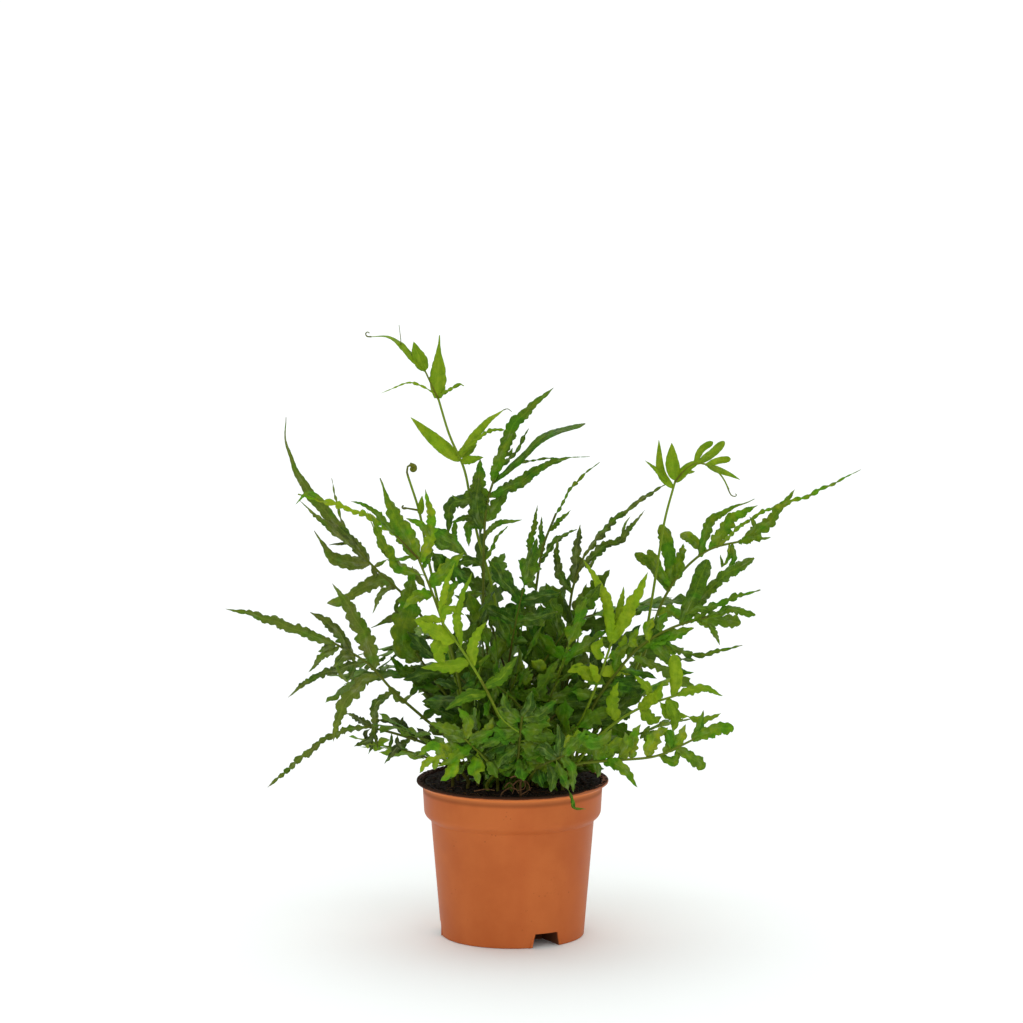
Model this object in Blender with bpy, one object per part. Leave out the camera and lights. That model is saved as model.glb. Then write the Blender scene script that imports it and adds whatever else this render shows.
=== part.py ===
"""Potted brake fern: lobed, waved fronds standing in dark soil in a terracotta-coloured plastic pot.

Metres, +Z up. The origin is the centre of the pot's base and the front looks towards -Y.
The named sizes are in millimetres and are scaled by MM when a mesh is made.
A frond is one solid: a stipe that stands in a hole in the soil, and leaflets sunk into it.
Points of the outer fronds are given as (across, up) in the upright plane through the pot's axis,
as seen from the front, and each is carried along its line of sight to its own depth.
"""
import math
import random

import bpy
from mathutils import Matrix, Vector
from mathutils.bvhtree import BVHTree

MM = 0.001
GAP = 0.3

# Pot
POT_HEIGHT = 98.5
POT_WALL = 1.2
STEP_INSIDE_RISE = 0.9
COLLAR_INSIDE_RISE = 0.6
LIP_SLOPE = 0.2
POT_SIDES = 32
BASE_RADIUS = 44.7
STEP_HEIGHT = 73.0
STEP_RADIUS = 50.9
COLLAR_HEIGHT = 77.0
COLLAR_RADIUS = 55.2
NECK_HEIGHT = 95.3
NECK_RADIUS = 56.2
LIP_HEIGHT = 97.0
LIP_RADIUS = 60.0
SMOOTH_BELOW = math.radians(30.0)

# Drainage notches at the foot, with a channel that runs in under the floor
NOTCH_COUNT = 3
NOTCH_FROM_FRONT = 28.0
NOTCH_HEIGHT = 9.0
NOTCH_WIDTH = 19.5
NOTCH_TOP_WIDTH = 15.6
CHANNEL_START = 22.0
DRAIN_RADIUS = 2.4
DRAIN_PLACE = 34.0
DRAIN_SIDES = 8
ROOF_INSET = 0.4
CUT_BELOW = 1.0

# Soil
SOIL_EDGE = 94.8
SOIL_MOUND = 1.6
SOIL_LUMP = 0.5
SOIL_RINGS = (40.0, 22.0)
SOIL_FLAT_EDGE = 1.0
# Waves of the soil's lumps: rates along x and y, start, then the second wave's share and rates
LUMP_X, LUMP_Y, LUMP_START = 0.31, 0.27, 1.0
SECOND_SHARE, SECOND_X, SECOND_Y = 0.6, 0.13, 0.41
HOLE_DEPTH = 7.0
HOLE_RADIUS = 1.7

# Stipes and leaflets
STIPE_RADIUS = 1.0
RACHIS_RADIUS = 0.8
BRANCH_RADIUS = 0.65
STIPE_SIDES = 3
STIPE_STEP = 24.0
STIPE_RISE = 3.0
BRANCH_STEP = 9.0
SEARCH_STEP = 0.5
SOIL_CLEAR = 98.0
SOIL_MARGIN = 2.0
RIM_CLEAR = 1.0
WALL_CLEAR = 3.0
FOOT_PITCH = 6.2
FOOT_LIMIT = 40.0
FOOT_ROW = math.sqrt(3.0) / 2.0
FOOT_SHARE = 0.33
BLADE = 0.7
BLADE_END = 0.35
LOBE_NOTCH = 0.52
LANCE_SKEW = 0.66
LANCE_FULLNESS = 0.7
LEAST_WIDTH, WIDTH_BY_LENGTH, LEAST_WIDTH_LIMIT = 2.0, 0.075, 7.5
EDGE_TWIST = math.radians(13.0)
BLADE_STEP = 9.6
BLADE_STEPS = (3, 7)
CLEAR = 0.45
FACE_LEAST = 0.15
ROOT_BACK = 1.6
FOOT_TRIES = 24
DEPTH_SPREAD = 1.6
DEPTH_POWER = 1.2
SLIDE_POWER = 1.3

# The eye that the front-view points are read from
EYE = Vector((0.0, -3129.0, 718.0))
FACING_EYE = Vector((0.0, -0.93, 0.36))
UP = Vector((0.0, 0.0, 1.0))
ACROSS = Vector((1.0, 0.0, 0.0))

# Outer fronds, as name: (stems, leaflets).
# A stem is a list of (across, up, depth); the first stem is the stipe and its rachis, from where it
# leaves the soil's neighbourhood, and the others are side branches that start on it.
# A leaflet is (width as seen, depth gained from root to tip, (across, up), (across, up), ...).
OUTER_FRONDS = {
    "frond_top_crown": (
        [[(-9, 195, 6), (-20, 245, 9), (-27, 277, 10), (-31, 298, 10), (-38, 312, 10), (-46, 338, 10)],
         [(-46, 337, 10), (-49, 344, 11), (-55, 357, 13)]],
        [(8, 10, (-31, 299), (-48, 312), (-63, 326)),
         (5, -8, (-29, 300), (-18, 301)),
         (6, 8, (-29, 304), (-22, 309)),
         (5, 12, (-30, 303), (-18, 321), (-5, 331)),
         (3, -12, (-30, 304), (-15, 317), (-3, 318)),
         (9, 4, (-46, 338), (-46, 352), (-45, 377)),
         (3, -10, (-47, 340), (-57, 346), (-66, 347), (-81, 341)),
         (3, -8, (-46, 339), (-34, 346), (-30, 345.5)),
         (8, 6, (-55, 355), (-58, 364), (-61, 373)),
         (4, 10, (-55, 355), (-60, 361), (-74, 375), (-90, 376))]),
    "frond_tall_centre": (
        [[(-17, 190, 3), (-18, 228, 4), (-17, 262, 5), (-14, 280, 5), (-8, 297, 6)]],
        [(8, 10, (-9, 297), (-1, 318), (10, 331), (25.5, 344.5)),
         (9, -8, (-17, 262), (-21, 280), (-20, 300)),
         (6, -12, (-12, 285), (5, 300), (20, 314), (45, 322)),
         (3, 14, (-11, 288), (5, 297), (15, 299.5), (48, 301.5)),
         (8, -18, (-14, 276), (5, 286), (20, 296), (35, 300.5)),
         (3, 18, (-9, 294), (1, 303), (10, 319)),
         (7, -14, (-15, 276), (-28, 275), (-38, 271), (-40, 252)),
         (5, 12, (-17, 261), (-28, 263), (-39, 260)),
         (6, -6, (-17, 258), (-27, 258), (-27, 245)),
         (4, 8, (-17, 252), (-10, 259), (6, 262)),
         (3, -8, (-18, 235), (-10, 250), (-3, 258))]),
    "frond_crozier": (
        [[(-44, 200, -12), (-52, 235, -15), (-56, 260, -15), (-62, 280, -15), (-65, 290, -15)],
         [(-64.7, 288.5, -15), (-65.5, 293, -15), (-64, 296.5, -15), (-61, 297, -15),
          (-59.4, 294.5, -15), (-61, 292.4, -15)],
         [(-58, 268, -15), (-67.5, 269.5, -16)]],
        [(4, -4, (-57, 265), (-56, 277))]),
    "frond_left_upper": (
        [[(-36, 172, -24), (-52, 222, -30), (-59, 239, -30)],
         [(-59, 239, -30), (-72, 252, -33)]],
        [(12, -8, (-59, 237), (-68, 255), (-75, 268), (-82, 288)),
         (4, 12, (-71, 251), (-85, 262), (-108, 271), (-133, 278)),
         (3, -10, (-71, 251), (-88, 269), (-100, 273.5)),
         (4, -16, (-60, 240), (-76, 238), (-84, 252), (-90, 267)),
         (5, 8, (-55, 231), (-50, 244)),
         (6, 16, (-57, 235), (-50, 257), (-54, 281)),
         (10, 10, (-51, 220), (-36, 236), (-30, 242)),
         (8, -10, (-50, 215), (-60, 214), (-68, 206))]),
    "frond_left_long": (
        [[(-36, 165, 8), (-58, 203, 12), (-70, 217, 14), (-87, 233, 15), (-100, 247, 16)]],
        [(9, 10, (-99, 246), (-110, 260), (-130, 285), (-140, 310), (-140, 326)),
         (5, -14, (-97, 243), (-110, 254), (-132, 274)),
         (3, 16, (-97, 244), (-107, 265), (-112, 288)),
         (9, -10, (-89, 235), (-100, 235), (-112, 239), (-123, 255)),
         (4, 8, (-87, 233), (-84, 221)),
         (3, -8, (-86, 232), (-78, 237)),
         (7, 12, (-72, 219), (-83, 224), (-107, 211), (-114, 210)),
         (3, -10, (-74, 221), (-82, 215), (-87, 203)),
         (8, -12, (-62, 208), (-75, 200), (-88, 194))]),
    "frond_left_reaching": (
        [[(-40, 126, -14), (-62, 141, -18), (-75, 155, -20), (-98, 179, -22), (-112, 185, -22)]],
        [(7, -10, (-110, 184), (-135, 193), (-160, 202), (-178.5, 206)),
         (9, 12, (-85, 167), (-91, 187), (-104, 211), (-112, 222)),
         (8, -12, (-98, 180), (-112, 195), (-126, 204)),
         (6, 8, (-110, 184), (-121, 179)),
         (9, -14, (-97, 178), (-104, 176), (-112, 169)),
         (5, 12, (-108, 182), (-118, 176), (-127, 166)),
         (5, 16, (-92, 172), (-108, 168), (-125, 162), (-140, 150)),
         (9, -10, (-83, 163), (-94, 160), (-107, 142), (-112, 122)),
         (6, 10, (-74, 154), (-85, 145), (-86, 130), (-84, 117))]),
    "frond_left_low": (
        [[(-38, 112, -12), (-58, 122, -12), (-82, 130, -12), (-92, 132, -12)]],
        [(5, -8, (-90, 132), (-105, 129), (-122, 120), (-153, 93)),
         (8, 8, (-60, 122), (-70, 133), (-84, 136)),
         (5, -10, (-84, 130), (-92, 122), (-99, 119)),
         (6, 10, (-64, 124), (-74, 116), (-80, 108)),
         (5, 8, (-86, 131), (-98, 138), (-104, 140))]),
    "frond_left_dark": (
        [[(-34, 140, 2), (-52, 166, 3), (-60, 178, 3)]],
        [(16, 8, (-57, 173), (-68, 184), (-65, 205), (-62, 233)),
         (9, -10, (-52, 165), (-66, 166), (-76, 176)),
         (9, 12, (-46, 157), (-42, 172), (-44, 190))]),
    "frond_front_bright": (
        [[(0, 118, -38), (-8, 137, -42), (-19, 160, -45), (-24, 172, -45), (-38, 186, -46),
          (-44, 198, -46)]],
        [(10, -6, (-37, 184), (-48, 192), (-61, 199)),
         (5, 8, (-44, 197), (-43, 215), (-36, 235)),
         (9, -10, (-25, 173), (-40, 170), (-57, 169)),
         (7, 10, (-23, 170), (-24, 186), (-16, 198)),
         (5, -8, (-33, 181), (-34, 205), (-25, 229)),
         (8, 12, (-17, 156), (-6, 164), (3, 176)),
         (8, -10, (-15, 152), (-30, 150), (-42, 142))]),
    "frond_centre_right": (
        [[(11, 180, 16), (13, 205, 18), (17, 235, 20), (22, 257, 20), (27, 266, 20)]],
        [(4, 10, (26, 265), (39, 285), (54, 298)),
         (6, -8, (17, 232), (11, 242), (15.5, 271)),
         (5, 12, (17, 238), (18, 264)),
         (4, -10, (22, 255), (36, 268)),
         (4, 14, (18, 235), (28, 250), (40, 256)),
         (7, -12, (15, 220), (4, 226)),
         (9, 10, (14, 212), (24, 218), (33, 214)),
         (10, -10, (12, 200), (1, 206), (-9, 203))]),
    "frond_dark_right": (
        [[(30, 150, 2), (34, 190, 4), (38, 222, 5), (45, 241, 6)]],
        [(5, 14, (44, 240), (60, 259), (82, 276), (96, 285)),
         (7, -10, (37, 216), (28, 232), (28, 250)),
         (8, 8, (38, 222), (40, 245), (42, 259)),
         (6, -14, (41, 231), (55, 244), (67, 250), (82, 268)),
         (9, 14, (34, 188), (40, 204), (46, 222)),
         (10, -12, (33, 182), (24, 192), (20, 206)),
         (10, 10, (32, 170), (44, 174), (55, 170))]),
    "frond_yellow_green": (
        [[(45, 140, -14), (56, 168, -12), (62, 186, -11)]],
        [(7, -8, (61, 184), (58, 212), (44, 237)),
         (5, 8, (61, 185), (66, 200), (69, 220)),
         (9, -6, (61, 184), (76, 212), (84, 229)),
         (8, 10, (55, 165), (66, 168), (76, 164)),
         (8, -12, (53, 161), (42, 168), (34, 166))]),
    "frond_young_right": (
        [[(64, 140, 6), (81, 183, 8), (89, 228, 10), (94, 260, 10), (101, 287, 10)],
         [(101, 286, 10), (108, 294, 8), (117, 298, 6), (123, 295, 5), (129, 290, 4), (134, 281, 3)]],
        [(5, 8, (99, 282), (92, 292), (90.5, 312)),
         (8, -6, (101, 287), (99, 297), (98.5, 310)),
         (4, -8, (114, 297), (117, 306), (124, 310.5)),
         (5, 8, (116, 298), (124, 304), (131, 311)),
         (4, -8, (121, 296), (128, 299), (135, 300)),
         (4, 8, (122, 295), (133, 291), (141, 287)),
         (3, 6, (107, 293), (113, 292))]),
    "frond_right_long": (
        [[(62, 130, 14), (80, 172, 20), (90, 202, 24), (97, 220, 25), (110, 233, 25), (125, 245, 26),
          (144, 249, 27)]],
        [(7, 10, (96, 218), (88, 232), (76, 241)),
         (6, -10, (97, 220), (91, 232), (84, 243)),
         (9, 12, (98, 221), (97, 242), (92, 259)),
         (8, -12, (101, 225), (104, 236), (106, 247)),
         (7, 14, (120, 242), (111, 250), (104, 253)),
         (6, -14, (116, 239), (124, 262), (150, 275)),
         (9, 12, (122, 243), (137, 263), (152, 271)),
         (5, -8, (126, 246), (150, 264), (185, 278), (216, 293.5)),
         (8, 10, (142, 249), (158, 260), (175, 281)),
         (6, -12, (140, 248), (151, 250), (160, 251)),
         (4, 8, (134, 247), (135, 240), (130, 232)),
         (9, -10, (90, 202), (100, 205), (108, 198))]),
    "frond_right_middle": (
        [[(48, 140, -10), (75, 178, -13), (92, 189, -15), (106, 198, -15), (122, 201, -16)]],
        [(10, -8, (104, 197), (114, 218), (121, 237)),
         (8, 10, (107, 198), (126, 222), (150, 238)),
         (5, -14, (110, 199), (130, 210), (154, 218)),
         (9, 12, (117, 200), (130, 199), (142, 197)),
         (5, -8, (120, 201), (136, 205), (151, 202)),
         (5, 10, (114, 200), (124, 194), (129, 183)),
         (4, -10, (90, 188), (112, 177), (143, 183)),
         (8, 12, (76, 178), (88, 190), (90, 203)),
         (7, -8, (84, 184), (95, 176), (104, 166))]),
    "frond_right_light": (
        [[(50, 122, -26), (75, 141, -29), (92, 148, -30), (104, 152, -30)]],
        [(8, 8, (100, 151), (102, 165), (100, 177)),
         (9, -8, (97, 149), (101, 138), (100, 128)),
         (6, 10, (102, 152), (117, 156), (131, 151)),
         (8, -10, (78, 142), (88, 150), (94, 160)),
         (8, 10, (80, 143), (88, 136), (93, 138)),
         (8, -8, (66, 134), (62, 147), (66, 160))]),
    "frond_right_trailing": (
        [[(38, 107, -40), (55, 110, -44), (82, 111, -46), (103, 118, -46), (114, 124, -46)]],
        [(6, 6, (112, 123), (117, 132), (119, 142)),
         (9, -6, (112, 123), (124, 129), (138, 131)),
         (8, 8, (102, 117), (112, 112), (120, 105)),
         (9, -8, (84, 111), (88, 124), (97, 131)),
         (8, 10, (74, 111), (75, 124), (80, 133)),
         (8, -14, (56, 110), (67, 107), (78, 93)),
         (8, 12, (95, 113), (104, 124), (108, 133)),
         (8, -6, (52, 110), (52, 122), (44, 130))]),
    "frond_front_low": (
        [[(3, 108, -36), (5, 126, -44), (6, 138, -48)]],
        [(9, -6, (6, 137), (11, 146), (12, 154)),
         (8, 8, (5, 134), (-4, 144), (-6, 153)),
         (9, -8, (6, 136), (18, 140), (28, 149)),
         (10, 8, (5, 128), (18, 124), (30, 126)),
         (10, -8, (4, 124), (-8, 124), (-20, 118))]),
    "frond_front_left": (
        [[(-12, 106, -34), (-22, 116, -42), (-30, 124, -48)]],
        [(10, -6, (-29, 122), (-40, 130), (-52, 134)),
         (8, 8, (-29, 123), (-28, 134), (-34, 144)),
         (8, -12, (-23, 117), (-36, 112), (-47, 106)),
         (8, 8, (-24, 118), (-16, 128), (-12, 138))]),
    "frond_front_rim": (
        [[(14, 104, -38), (24, 110, -46), (32, 113, -52)]],
        [(8, -6, (31, 113), (40, 122), (46, 130)),
         (7, -10, (30, 112), (37, 104), (38, 90)),
         (9, 6, (24, 110), (18, 118), (12, 116)),
         (8, 8, (26, 111), (30, 122), (28, 133))]),
}

# Fronds placed by a rule. Their leaflets are lobes cut to the rib of one thin blade, as kind:
# (count, azimuths, reach across, reach deep, height, climb, habit, lobe size), where habit is how far
# the rib leans out, how far it may sway to a side, and how far the blade faces outwards
SPRIGS = {
    "frond_skirt": (7, (-170.0, -10.0), (10, 42), (14, 30), (105, 112), (0.3, 0.9),
                    (0.7, 1.1, 1.1), (24.0, 13.0)),
    "frond_near": (9, (-166.0, -14.0), (10, 50), (14, 36), (115, 146), (0.5, 1.3),
                   (0.5, 1.0, 1.3), (29.0, 13.5)),
    "frond_inner": (8, (-170.0, 190.0), (12, 48), (8, 28), (150, 184), (0.7, 1.6),
                    (0.6, 0.9, 0.9), (31.0, 14.0)),
    "frond_lower": (6, (-205.0, 25.0), (46, 62), (22, 36), (111, 128), (0.35, 0.9),
                    (1.0, 0.4, 0.4), (28.0, 13.5)),
    "frond_back": (7, (18.0, 162.0), (54, 80), (62, 100), (128, 200), (-0.35, 0.4),
                   (1.0, 0.4, 0.4), (36.0, 13.0)),
}
SPRIG_SEED = 29
SPRIG_PAIRS = 3
SPRIG_ROLL = 0.35
KNEE_SHARE = 0.6
RIB_SAG = 0.05
AZIMUTH_SPREAD = (0.2, 0.8)
SIZE_SPREAD = (0.9, 1.1)
PITCH_SPREAD = (0.92, 1.08)
LENGTH_SPREAD = (0.82, 1.12)
WIDTH_SPREAD = (0.85, 1.1)
TIP_SPREAD = (1.0, 1.25)
RIB_HALF = 0.9
RIB_OVERLAP = 2.2
RIB_PITCH = 16.0
LOBE_TURN = math.radians(58.0)
LOBE_SHOULDER = 0.42
LOBE_LIFT = 0.22
LOBE_CURL = 1.3
LOBE_GAP = 0.6
LOBE_WIDTH_KEPT = 0.55
TIP_DROOP = -0.12
SHIFTS = (0.0, 6.0, -6.0, 12.0, -12.0)
LIFTS = (0.0, 0.2, -0.2, 0.4, -0.4)
LOBE_SHARES = (1.0, 0.85, 0.7, 0.55, 0.4)

SLIDES = (0, -7, 7, -14, 14, -21, 21, -28, 28, -36, 36)
SHARES = (1.0, 0.82, 0.66)

# Old stipe left from an earlier frond: (across, up, depth)
OLD_STIPE = [(5, 96.5, -44), (6, 99, -45), (2.5, 100.5, -46), (-1.5, 99, -47)]
OLD_STIPE_RADIUS = 0.9
OLD_STIPE_TAPER = 0.7

COLOURS = {
    "pot": (0.47, 0.13, 0.045, 0.42),
    "soil": (0.012, 0.008, 0.005, 0.95),
    "old_stipe": (0.25, 0.15, 0.07, 0.8),
    "frond": (0.05, 0.14, 0.018, 0.5),
    "young": (0.16, 0.30, 0.03, 0.45),
}
YOUNG = ("frond_top_crown", "frond_young_right", "frond_yellow_green", "frond_front_bright",
         "frond_right_light", "frond_crozier")


def clear_scene():
    """Remove whatever the scene holds."""
    for item in list(bpy.data.objects):
        bpy.data.objects.remove(item)


def material(name):
    """A plain Principled material from the colour table."""
    made = bpy.data.materials.get(name)
    if made is None:
        made = bpy.data.materials.new(name)
        made.use_nodes = True
        red, green, blue, rough = COLOURS[name]
        shader = made.node_tree.nodes["Principled BSDF"]
        shader.inputs["Base Color"].default_value = (red, green, blue, 1.0)
        shader.inputs["Roughness"].default_value = rough
        made.diffuse_color = (red, green, blue, 1.0)
    return made


def add_object(name, points, faces, finish=None):
    """An object in the scene from points in millimetres."""
    mesh = bpy.data.meshes.new(name)
    mesh.from_pydata([tuple(point * MM) for point in points], [], faces)
    mesh.update()
    item = bpy.data.objects.new(name, mesh)
    bpy.context.scene.collection.objects.link(item)
    if finish:
        mesh.materials.append(material(finish))
    return item


def join(body, pieces, operation="UNION"):
    """Join pieces to a body, or cut them from it, with one Boolean on a collection."""
    group = bpy.data.collections.new(body.name + "_pieces")
    for piece in pieces:
        group.objects.link(piece)
    cut = body.modifiers.new("join", "BOOLEAN")
    cut.operation = operation
    cut.operand_type = "COLLECTION"
    cut.collection = group
    cut.solver = "EXACT"
    graph = bpy.context.evaluated_depsgraph_get()
    result = bpy.data.meshes.new_from_object(body.evaluated_get(graph))
    body.modifiers.clear()
    body.data = result
    result.name = body.name
    for piece in pieces:
        bpy.data.objects.remove(piece)
    bpy.data.collections.remove(group)


def smooth(item):
    """Shade a round piece smooth, apart from its sharp edges."""
    item.data.shade_smooth()
    item.data.set_sharp_from_angle(angle=SMOOTH_BELOW)


def turned(profile, sides):
    """Points and faces of a profile of (radius, height) turned about the upright axis.

    A radius of zero closes an end in one point.
    """
    points = []
    rings = []
    for radius, height in profile:
        if radius == 0.0:
            rings.append([len(points)])
            points.append(Vector((0.0, 0.0, height)))
            continue
        rings.append(list(range(len(points), len(points) + sides)))
        for index in range(sides):
            angle = 2.0 * math.pi * index / sides
            points.append(Vector((radius * math.cos(angle), radius * math.sin(angle), height)))
    faces = []
    for lower, upper in zip(rings, rings[1:]):
        for index in range(sides):
            after = (index + 1) % sides
            if len(lower) == 1:
                faces.append((lower[0], upper[after], upper[index]))
            elif len(upper) == 1:
                faces.append((lower[index], lower[after], upper[0]))
            else:
                faces.append((lower[index], lower[after], upper[after], upper[index]))
    return points, faces


def channel(name, grow, angle, start, end):
    """A trapezoid bar along one drainage channel, larger than the notch by grow on its sides and top."""
    half = NOTCH_WIDTH / 2.0 + grow
    top = NOTCH_TOP_WIDTH / 2.0 + grow
    low = -CUT_BELOW if grow == 0.0 else POT_WALL / 2.0
    high = NOTCH_HEIGHT + grow
    turn = Matrix.Rotation(math.radians(angle), 3, "Z")
    points = []
    for along in (start, end):
        for side, height in ((-half, low), (half, low), (top, high), (-top, high)):
            points.append(turn @ Vector((along, side, height)))
    faces = [(3, 2, 1, 0), (4, 5, 6, 7), (0, 1, 5, 4), (1, 2, 6, 5), (2, 3, 7, 6), (3, 0, 4, 7)]
    return add_object(name, points, faces)


def prism(name, place, radius, low, high, sides):
    """An upright prism, used as a cutter."""
    points, faces = turned([(0.0, low), (radius, low), (radius, high), (0.0, high)], sides)
    return add_object(name, [point + place for point in points], faces)


def notch_angles():
    """Directions of the drainage notches, in degrees from +X."""
    first = -90.0 + NOTCH_FROM_FRONT
    return [first + 360.0 * index / NOTCH_COUNT for index in range(NOTCH_COUNT)]


def inner_wall(inset):
    """The inside of the pot's wall as (radius, height), moved in by inset, from the floor up."""
    return [(BASE_RADIUS - POT_WALL - inset, POT_WALL + inset),
            (STEP_RADIUS - POT_WALL - inset, STEP_HEIGHT + STEP_INSIDE_RISE + inset),
            (COLLAR_RADIUS - POT_WALL - inset, COLLAR_HEIGHT + COLLAR_INSIDE_RISE + inset)]


def pot_shell():
    """Points and faces of the pot before its foot is cut."""
    outside = [(0.0, 0.0), (BASE_RADIUS, 0.0), (STEP_RADIUS, STEP_HEIGHT), (COLLAR_RADIUS, COLLAR_HEIGHT),
               (NECK_RADIUS, NECK_HEIGHT), (LIP_RADIUS, LIP_HEIGHT), (LIP_RADIUS, POT_HEIGHT)]
    inside = [(NECK_RADIUS - LIP_SLOPE, POT_HEIGHT), (NECK_RADIUS - POT_WALL, NECK_HEIGHT)]
    inside += list(reversed(inner_wall(0.0)))
    inside += [(0.0, POT_WALL)]
    return turned(outside + inside, POT_SIDES)


def make_pot():
    """The pot: a turned shell with three channels that run in from the notches at its foot."""
    pot = add_object("pot", *pot_shell(), "pot")
    roofs = []
    cuts = []
    roof_start = CHANNEL_START - POT_WALL
    for index, angle in enumerate(notch_angles()):
        roofs.append(channel(f"roof_{index}", POT_WALL, angle, roof_start, BASE_RADIUS - ROOF_INSET))
        cuts.append(channel(f"cut_{index}", 0.0, angle, CHANNEL_START, LIP_RADIUS))
        place = Vector((DRAIN_PLACE, 0.0, 0.0))
        place.rotate(Matrix.Rotation(math.radians(angle), 3, "Z"))
        low, high = NOTCH_HEIGHT / 2.0, NOTCH_HEIGHT * 1.5
        cuts.append(prism(f"drain_{index}", place, DRAIN_RADIUS, low, high, DRAIN_SIDES))
    join(pot, roofs)
    join(pot, cuts, "DIFFERENCE")
    smooth(pot)
    return pot


def soil_height(x, y):
    """Height of the soil's top: a low mound with lumps from two crossing waves."""
    share = min(1.0, math.hypot(x, y) / (COLLAR_RADIUS - POT_WALL))
    lumps = math.sin(x * LUMP_X + LUMP_START) * math.cos(y * LUMP_Y)
    lumps += SECOND_SHARE * math.sin(x * SECOND_X - y * SECOND_Y)
    return SOIL_EDGE + SOIL_MOUND * (1.0 - share * share) + SOIL_LUMP * lumps * (1.0 - share)


def make_soil(feet):
    """The soil: a plug that fills the pot, with a plain hole for each stipe."""
    walls = inner_wall(GAP)
    slope = (NECK_RADIUS - COLLAR_RADIUS) / (NECK_HEIGHT - COLLAR_HEIGHT)
    rim = walls[-1][0] + (SOIL_EDGE - walls[-1][1]) * slope
    profile = [(0.0, walls[0][1])] + walls + [(rim, SOIL_EDGE)]
    profile += [(radius, SOIL_EDGE) for radius in SOIL_RINGS] + [(0.0, SOIL_EDGE)]
    points, faces = turned(profile, POT_SIDES)
    for point in points:
        if point.z == SOIL_EDGE and math.hypot(point.x, point.y) < rim - SOIL_FLAT_EDGE:
            point.z = soil_height(point.x, point.y)
    soil = add_object("soil", points, faces, "soil")
    cuts = []
    seat_start = CHANNEL_START - POT_WALL - GAP
    for index, angle in enumerate(notch_angles()):
        cuts.append(channel(f"seat_{index}", POT_WALL + GAP, angle, seat_start, LIP_RADIUS))
    for index, foot in enumerate(feet):
        low = foot_bottom(foot) - GAP
        cuts.append(prism(f"hole_{index}", foot, HOLE_RADIUS, low, SOIL_CLEAR, STIPE_SIDES))
    join(soil, cuts, "DIFFERENCE")
    smooth(soil)
    return soil


def foot_bottom(foot):
    """Height of the lower end of a stipe that stands at this place."""
    return soil_height(foot.x, foot.y) - HOLE_DEPTH


def seen(across, up, depth):
    """A front-view point carried along its line of sight to a depth."""
    scale = 1.0 + depth / -EYE.y
    return Vector((across * scale, depth, EYE.z + (up - EYE.z) * scale))


def curve(points, fine=8):
    """Close-set points on a Catmull-Rom curve through the given points."""
    ends = [points[0] * 2.0 - points[1]] + points + [points[-1] * 2.0 - points[-2]]
    result = []
    for before, here, after, beyond in zip(ends, ends[1:], ends[2:], ends[3:]):
        for index in range(fine):
            t = index / fine
            bend = (before * (-t + 2 * t * t - t ** 3) + here * (2 - 5 * t * t + 3 * t ** 3)
                    + after * (t + 4 * t * t - 3 * t ** 3) + beyond * (t ** 3 - t * t))
            result.append(bend * 0.5)
    return result + [points[-1]]


def lengths(points):
    """Distance of each point from the first, along the line."""
    total = 0.0
    result = [0.0]
    for here, after in zip(points, points[1:]):
        total += (after - here).length
        result.append(total)
    return result


def point_at(points, runs, distance):
    """The point at a distance along a line whose running lengths are known."""
    distance = max(0.0, min(distance, runs[-1]))
    for index in range(1, len(runs)):
        if distance <= runs[index]:
            span = runs[index] - runs[index - 1]
            share = 0.0 if span == 0.0 else (distance - runs[index - 1]) / span
            return points[index - 1].lerp(points[index], share)
    return points[-1]


def evenly(points, steps, share=1.0):
    """Points at even steps along the first share of a line."""
    runs = lengths(points)
    return [point_at(points, runs, runs[-1] * share * index / steps) for index in range(steps + 1)]


def frames(centres, facing, roll):
    """At each centre the direction along the line, across the blade and out of its face."""
    result = []
    last = len(centres) - 1
    for index in range(last + 1):
        along = (centres[min(index + 1, last)] - centres[max(index - 1, 0)]).normalized()
        face = facing - along * facing.dot(along)
        if face.length < FACE_LEAST:
            face = UP - along * UP.dot(along)
        face = Matrix.Rotation(roll, 3, along) @ face.normalized()
        result.append((along, along.cross(face).normalized(), face))
    return result


def strip_faces(steps, ring):
    """Triangles of a closed strip of rings of points, with a cap at each end."""
    faces = [tuple(reversed(range(ring))), tuple(steps * ring + index for index in range(ring))]
    for step in range(steps):
        for index in range(ring):
            after = (index + 1) % ring
            low = step * ring
            high = low + ring
            if index < ring / 2:
                faces.append((low + index, low + after, high + after))
                faces.append((low + index, high + after, high + index))
            else:
                faces.append((low + index, low + after, high + index))
                faces.append((low + after, high + after, high + index))
    return faces


def tube(centres, start_radius, end_radius, grow=0.0):
    """Points and faces of a tapering stem with few sides, whose section is carried along unturned."""
    points = []
    last = len(centres) - 1
    across = ACROSS
    for index, centre in enumerate(centres):
        along = (centres[min(index + 1, last)] - centres[max(index - 1, 0)]).normalized()
        across = (across - along * across.dot(along)).normalized()
        face = along.cross(across)
        radius = start_radius + (end_radius - start_radius) * index / last + grow
        for side in range(STIPE_SIDES):
            angle = 2.0 * math.pi * side / STIPE_SIDES
            points.append(centre + (across * math.cos(angle) + face * math.sin(angle)) * radius)
    return points, strip_faces(last, STIPE_SIDES)


def half_width(share, step, last):
    """Half width of a leaflet as a share of its width: a lance shape with a lobe at every other step."""
    lance = math.sin(math.pi * share ** LANCE_SKEW) ** LANCE_FULLNESS if 0.0 < share < 1.0 else 0.0
    lobe = 1.0 if step % 2 == 1 or step == last else LOBE_NOTCH
    return 0.5 * lance * lobe


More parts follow.
